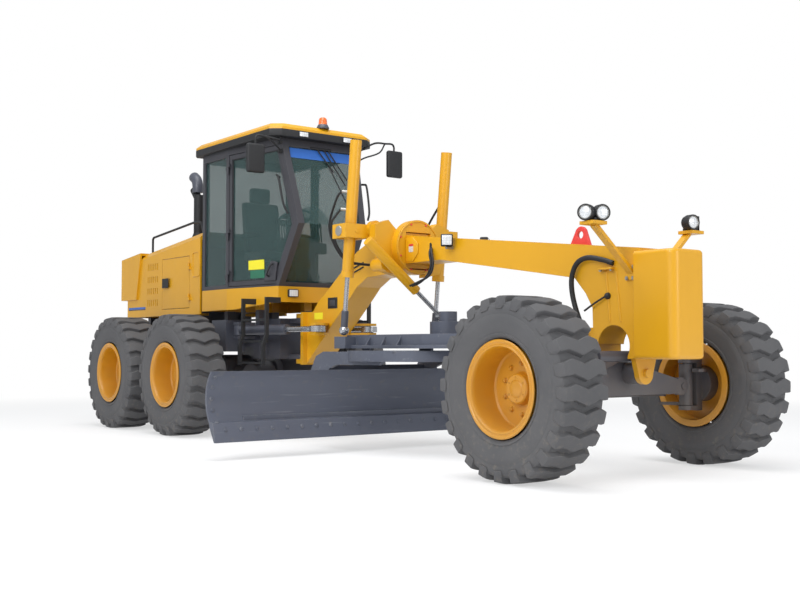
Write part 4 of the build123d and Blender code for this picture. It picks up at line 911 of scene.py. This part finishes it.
def cab_details():
    for name, side in sides:
        body = f"cab_door_{name}"
        levels, first, last = (1.7185, 2.290, 3.1015), 0.088, 0.118     # last is from the front edge
        Form().skin([[door_place(side, along, out, z) for along, out in
                      ((first, -0.030), (door_run(z) - last, -0.030), (door_run(z) - last, -0.024),
                       (first, -0.024))]
                     for z in levels]).piece(f"door_glass_{name}", body, "glazing", 0)
        seal = Form()
        loop = [door_place(side, first, -0.020, levels[0]),
                *(door_place(side, door_run(z) - last, -0.020, z) for z in levels),
                door_place(side, first, -0.020, levels[-1])]
        for start, end in zip(loop, loop[1:] + loop[:1]):
            seal.bar(start, end, 0.007, 8)
        seal.piece(f"door_seal_{name}", body, "black", 0)
        cover = [(0.660, 1.700), (0.860, 1.700), (0.905, 1.895), (0.800, 1.915), (0.745, 1.850)]
        door_panel(side, cover, -0.008, 0.016).piece(f"latch_cover_{name}", body, "cab_grey", 0.005)
        Form().tube([door_place(side, 0.760, 0.014, 1.745), door_place(side, 0.765, 0.050, 1.770),
                     door_place(side, 0.835, 0.050, 1.860), door_place(side, 0.840, 0.014, 1.880)], 0.009,
                    10).piece(
            f"door_handle_{name}", body, "black", 0)
        hinges = Form()
        for z in (1.760, 2.230, 2.980):
            hinges.bar(at(0.962, side * 0.612, z - 0.045), at(0.962, side * 0.612, z + 0.045), 0.0125, 16)
        hinges.piece(f"hinge_knuckles_{name}", "rear_body", "cab_grey", 0)
    for name, outline, finish in (("upper", rectangle(0.365, 1.835, 0.640, 1.940), "lime_sign"),
                                  ("lower", rectangle(0.395, 1.740, 0.640, 1.830), "green_sign")):
        door_panel(-1, outline, -0.0235, -0.0220).piece(f"door_sign_{name}", "cab_door_right", finish, 0)
    # dark skirt below the roof
    rim = [(0.207, -0.622), (0.268, -0.663), (1.952, -0.663), (2.043, -0.552), (2.043, 0.552), (1.952, 0.663),
           (0.268, 0.663), (0.207, 0.622)]
    rings = [[at(x, y, z) for x, y in rim] for z in (3.228, 3.306)]
    Form().skin(rings).piece("roof_skirt", "rear_body", "black", 0.006)
    for name, low in (("right", -0.350), ("left", 0.220)):
        Form().block(at(2.030, low, 3.236), at(2.050, low + 0.130, 3.300)).piece(
            f"roof_lamp_{name}", "rear_body", "black", 0.004)
        Form().block(at(2.046, low + 0.012, 3.244), at(2.054, low + 0.118, 3.292)).piece(
            f"roof_lamp_lens_{name}", "rear_body", "lamp_glass", 0.003)
    # windscreen: band, wipers and the round screen
    rings = [[windscreen_place(-0.400, z, 0.0010), windscreen_place(0.400, z, 0.0010),
              windscreen_place(0.400, z, 0.0025), windscreen_place(-0.400, z, 0.0025)]
             for z in (3.020, 3.132)]
    Form().skin(rings).piece("windscreen_band", "rear_body", "blue_paint", 0)
    wipers = Form()
    for start, end in (((-0.060, 3.150), (0.125, 2.900)), ((0.030, 3.150), (0.255, 2.760)),
                       ((0.085, 3.150), (0.290, 2.820))):
        wipers.bar(windscreen_place(*start, 0.022), windscreen_place(*end, 0.014), 0.007, 10)
    wipers.bar(windscreen_place(0.060, 3.010, 0.008), windscreen_place(0.270, 2.480, 0.008), 0.006, 8)
    wipers.bar(windscreen_place(-0.140, 3.150, 0.024), windscreen_place(0.130, 3.150, 0.024), 0.012, 12)
    wipers.piece("wipers", "rear_body", "black", 0)
    turns = [math.pi * i / 24 for i in range(25)]
    outline = [(0.190 * math.cos(t) - 0.215, 0.190 * math.sin(t) + 2.300) for t in turns]
    sheets = [[at(2.150 - (z - 2.300) * 0.27 + out, y, z) for y, z in outline] for out in (0.0, 0.003)]
    Form().skin(sheets).piece("round_screen", "rear_body", "glazing", 0)
    # mirrors on their tubes
    heads, tubes = Form(), Form()
    for side, head, top, low in ((1, 3.057, 3.285, 3.110), (-1, 2.940, 3.185, 3.085)):
        heads.block(at(2.060, side * 0.800, head - 0.1525), at(2.118, side * 1.009, head + 0.1525))
        tubes.tube([at(1.915, side * 0.520, 3.180), at(2.085, side * 0.620, top - 0.020),
                    at(2.085, side * 0.780, top - 0.004),
                    at(2.085, side * 0.870, top), at(2.085, side * 0.900, top - 0.030),
                    at(2.085, side * 0.900, head + 0.140)], 0.011, 12)
        tubes.tube([at(1.930, side * 0.520, 3.080), at(2.000, side * 0.560, low),
                    at(2.075, side * 0.700, low + 0.060),
                    at(2.085, side * 0.770, top - 0.012)], 0.009, 10)
        for z in (3.180, 3.080):
            tubes.block(at(1.905, side * 0.490, z - 0.02), at(1.950, side * 0.530, z + 0.02))
    heads.piece("mirror_heads", "rear_body", "black", 0.024, ("mirrors",), steps=5)
    tubes.piece("mirror_arms", "rear_body", "black", 0)
    faces = Form()
    for side, head in ((1, 3.057), (-1, 2.940)):
        faces.block(at(2.0575, side * 0.822, head - 0.130), at(2.0605, side * 0.987, head + 0.130))
    faces.piece("mirror_glass", "rear_body", "chrome_rod", 0.001)
    # grab rails, the lamp in the base and the beacon
    for name, side in sides:
        hose(f"grab_rail_{name}", "rear_body",
             [(1.905, side * 0.500, 2.800), (1.960, side * 0.570, 2.810), (2.010, side * 0.575, 2.770),
              (2.080, side * 0.560, 2.500), (2.110, side * 0.520, 2.390)], 0.012, 12)
        square_lamp(f"base_lamp_{name}", "rear_body", at(1.795, side * 0.270, 1.565), heading(side * 12),
                    0.120, 0.085, 0.055)
    base = [(0, 0.070), (0.012, 0.070), (0.040, 0.056), (0.046, 0.052), (0.046, 0.010)]
    Form().turned(base, at(1.985, 0, 3.3705), (0, 0, 1), 40, capped=True).piece(
        "beacon_base", "rear_body", "frame_grey", 0.001, ("beacon",))
    profile = [(0.045, 0.048), (0.060, 0.049), (0.066, 0.046), (0.074, 0.0475), (0.082, 0.0445),
               (0.090, 0.046), (0.098, 0.043), (0.106, 0.043), (0.118, 0.036), (0.126, 0.022), (0.129, 0.002)]
    Form().turned(profile, at(1.985, 0, 3.3705), (0, 0, 1), 48, capped=True).piece(
        "beacon_cover", "rear_body", "beacon_orange", 0)


def seat_details():
    """The driver's seat: padded cushions on a sprung base."""
    x, floor = 0.900, 1.640
    Form().block(at(x - 0.119, -0.129, floor + 0.002), at(x + 0.119, 0.129, floor + 0.326)).piece(
        "seat_base", "rear_body", "black", 0.012, ("seat",))
    cushion = Form().block(at(x - 0.238, -0.248, floor + 0.328), at(x + 0.258, 0.248, floor + 0.449)).piece(
        "seat_cushion", "rear_body", "seat_fabric", 0.045, steps=6)
    rows = ((0.442, 0.110, 0.248), (0.720, 0.162, 0.286), (1.048, 0.221, 0.328))      # (height, front, rear)
    back = Form().skin([[at(x - front, y, floor + z) for y in (-0.233, 0.233)]
                        + [at(x - rear, y, floor + z) for y in (0.233, -0.233)] for z, front, rear in rows])
    back = back.piece("seat_back", "rear_body", "seat_fabric", 0.035, steps=6)
    rest = Form().block(at(x - 0.325, -0.128, floor + 1.048), at(x - 0.228, 0.128, floor + 1.228)).piece(
        "seat_head_rest", "rear_body", "seat_fabric", 0.035, steps=6)
    arms = Form()
    for side in (-1, 1):
        arms.block(at(x - 0.178, side * 0.257, floor + 0.602), at(x + 0.198, side * 0.318, floor + 0.658))
    arms = arms.piece("seat_arm_rests", "rear_body", "black", 0.020, steps=5)
    return cushion, back, rest, arms


# ---------------- hood
def hood_details():
    for name, side in sides:
        plates(f"hood_door_{name}", (f"hood_latch_plate_{name}", rectangle(-0.706, 1.716, -0.533, 1.834),
                                     side * 0.6235, side * 0.0014, "black", 0))
        corners = [(0.085, 1.840), (0.105, 1.822), (0.235, 1.822), (0.258, 1.842), (0.258, 2.088),
                   (0.238, 2.108), (0.105, 2.108), (0.085, 2.088), (0.085, 1.840)]
        Form().tube([at(px, side * 0.601, pz) for px, pz in corners], 0.007, 8, smooth=False).piece(
            f"hood_panel_line_{name}", "rear_body", "body_yellow", 0)
        plates("rear_body", (f"hood_stripe_{name}", rectangle(-1.760, 1.472, -1.240, 1.500),
                             side * 0.6002, side * 0.0015, "blue_paint", 0),
               (f"hood_line_{name}", rectangle(-1.760, 1.462, -1.240, 1.470),
                side * 0.6002, side * 0.0013, "black", 0))
    hose("exhaust_elbow", "rear_body",
         [(-0.336, -0.330, 2.900), (-0.336, -0.330, 2.985), (-0.365, -0.330, 3.060), (-0.440, -0.330, 3.110)],
         0.066, 28, "frame_grey", 0.002)


beam_details()
headlamps()
lift_details()
blade_details()
cab_details()
cushions = seat_details()
hood_details()


# ---------------- floor, light and camera
def studio():
    """A pale floor that turns white far out, a white backdrop, three lamps and the camera."""
    scene = bpy.context.scene
    data = bpy.data.meshes.new("floor")
    reach, level = 60.0, cad_low.z
    data.from_pydata([(x, y, level) for x, y in rectangle(-reach, -reach, reach, reach)], [], [(0, 1, 2, 3)])
    floor = placed("floor", data)
    f = Finish("pale_floor")
    grain = f.cloud(3, 3)
    tone = f.blend((grain * 0.2).held(), (246, 246, 247), (238, 238, 240))
    plain = f.add("ShaderNodeBsdfPrincipled", None,
                  {"Base Color": tone, "Roughness": 0.9, "Specular IOR Level": 0.1})
    bright = f.add("ShaderNodeEmission", None, {"Color": (1, 1, 1, 1), "Strength": 1.0})
    path = f.add("ShaderNodeLightPath")
    seen = (Amount(f, path.outputs["Is Camera Ray"]) + Amount(f, path.outputs["Is Glossy Ray"])
            + Amount(f, path.outputs["Is Transmission Ray"])).held()
    away = (f.x * f.x + f.y * f.y).over(30.0, 160.0)
    shares = {0: seen * (0.55 + away * 0.45), 1: plain.outputs[0], 2: bright.outputs[0]}
    share = f.add("ShaderNodeMixShader", None, shares)
    out = f.add("ShaderNodeOutputMaterial")
    f.tree.links.new(share.outputs[0], out.inputs["Surface"])
    data.materials.append(f.material)

    world = bpy.data.worlds.new("soft_room")
    scene.world = world
    world.use_nodes = True
    tree = world.node_tree
    tree.nodes.clear()
    room = grow(tree, "ShaderNodeBackground", Color=(0.94, 0.97, 1.0, 1), Strength=0.55)
    backdrop = grow(tree, "ShaderNodeBackground", Color=(1, 1, 1, 1))
    path = grow(tree, "ShaderNodeLightPath")
    seen = grow(tree, "ShaderNodeMath", {"operation": "ADD"}, n0=path.outputs["Is Camera Ray"],
                n1=path.outputs["Is Transmission Ray"])
    mix = grow(tree, "ShaderNodeMixShader", n0=seen.outputs[0], n1=room.outputs[0], n2=backdrop.outputs[0])
    grow(tree, "ShaderNodeOutputWorld", n0=mix.outputs[0])

    lamps = (        # (name, place, towards, size, watts)
        ("overhead", at(4.0, -2.0, 11.0), at(2.5, 0, 1.0), 9.0, 850.0),
        ("key", at(9.0, -12.0, 8.0), at(2.5, 0, 1.2), 7.0, 900.0),
        ("fill", at(15.0, 2.0, 4.0), at(4.0, 0, 1.2), 5.0, 260.0),
    )
    for name, place, towards, size, watts in lamps:
        light = bpy.data.lights.new(name, "AREA")
        light.shape, light.size, light.energy = "DISK", size, watts
        lamp = placed(name, light)
        lamp.location = place
        lamp.rotation_euler = (towards - place).to_track_quat("-Z", "Y").to_euler()

    eye = bpy.data.cameras.new("eye")
    eye.lens, eye.sensor_width = 49.6, 36.0
    eye.clip_end = 200
    camera = placed("eye", eye)
    camera.location = at(12.036, -6.611, 0.965)
    camera.rotation_euler = (math.radians(92.52), 0, math.radians(52.63))
    scene.camera = camera
    scene.view_settings.view_transform = "Standard"


studio()
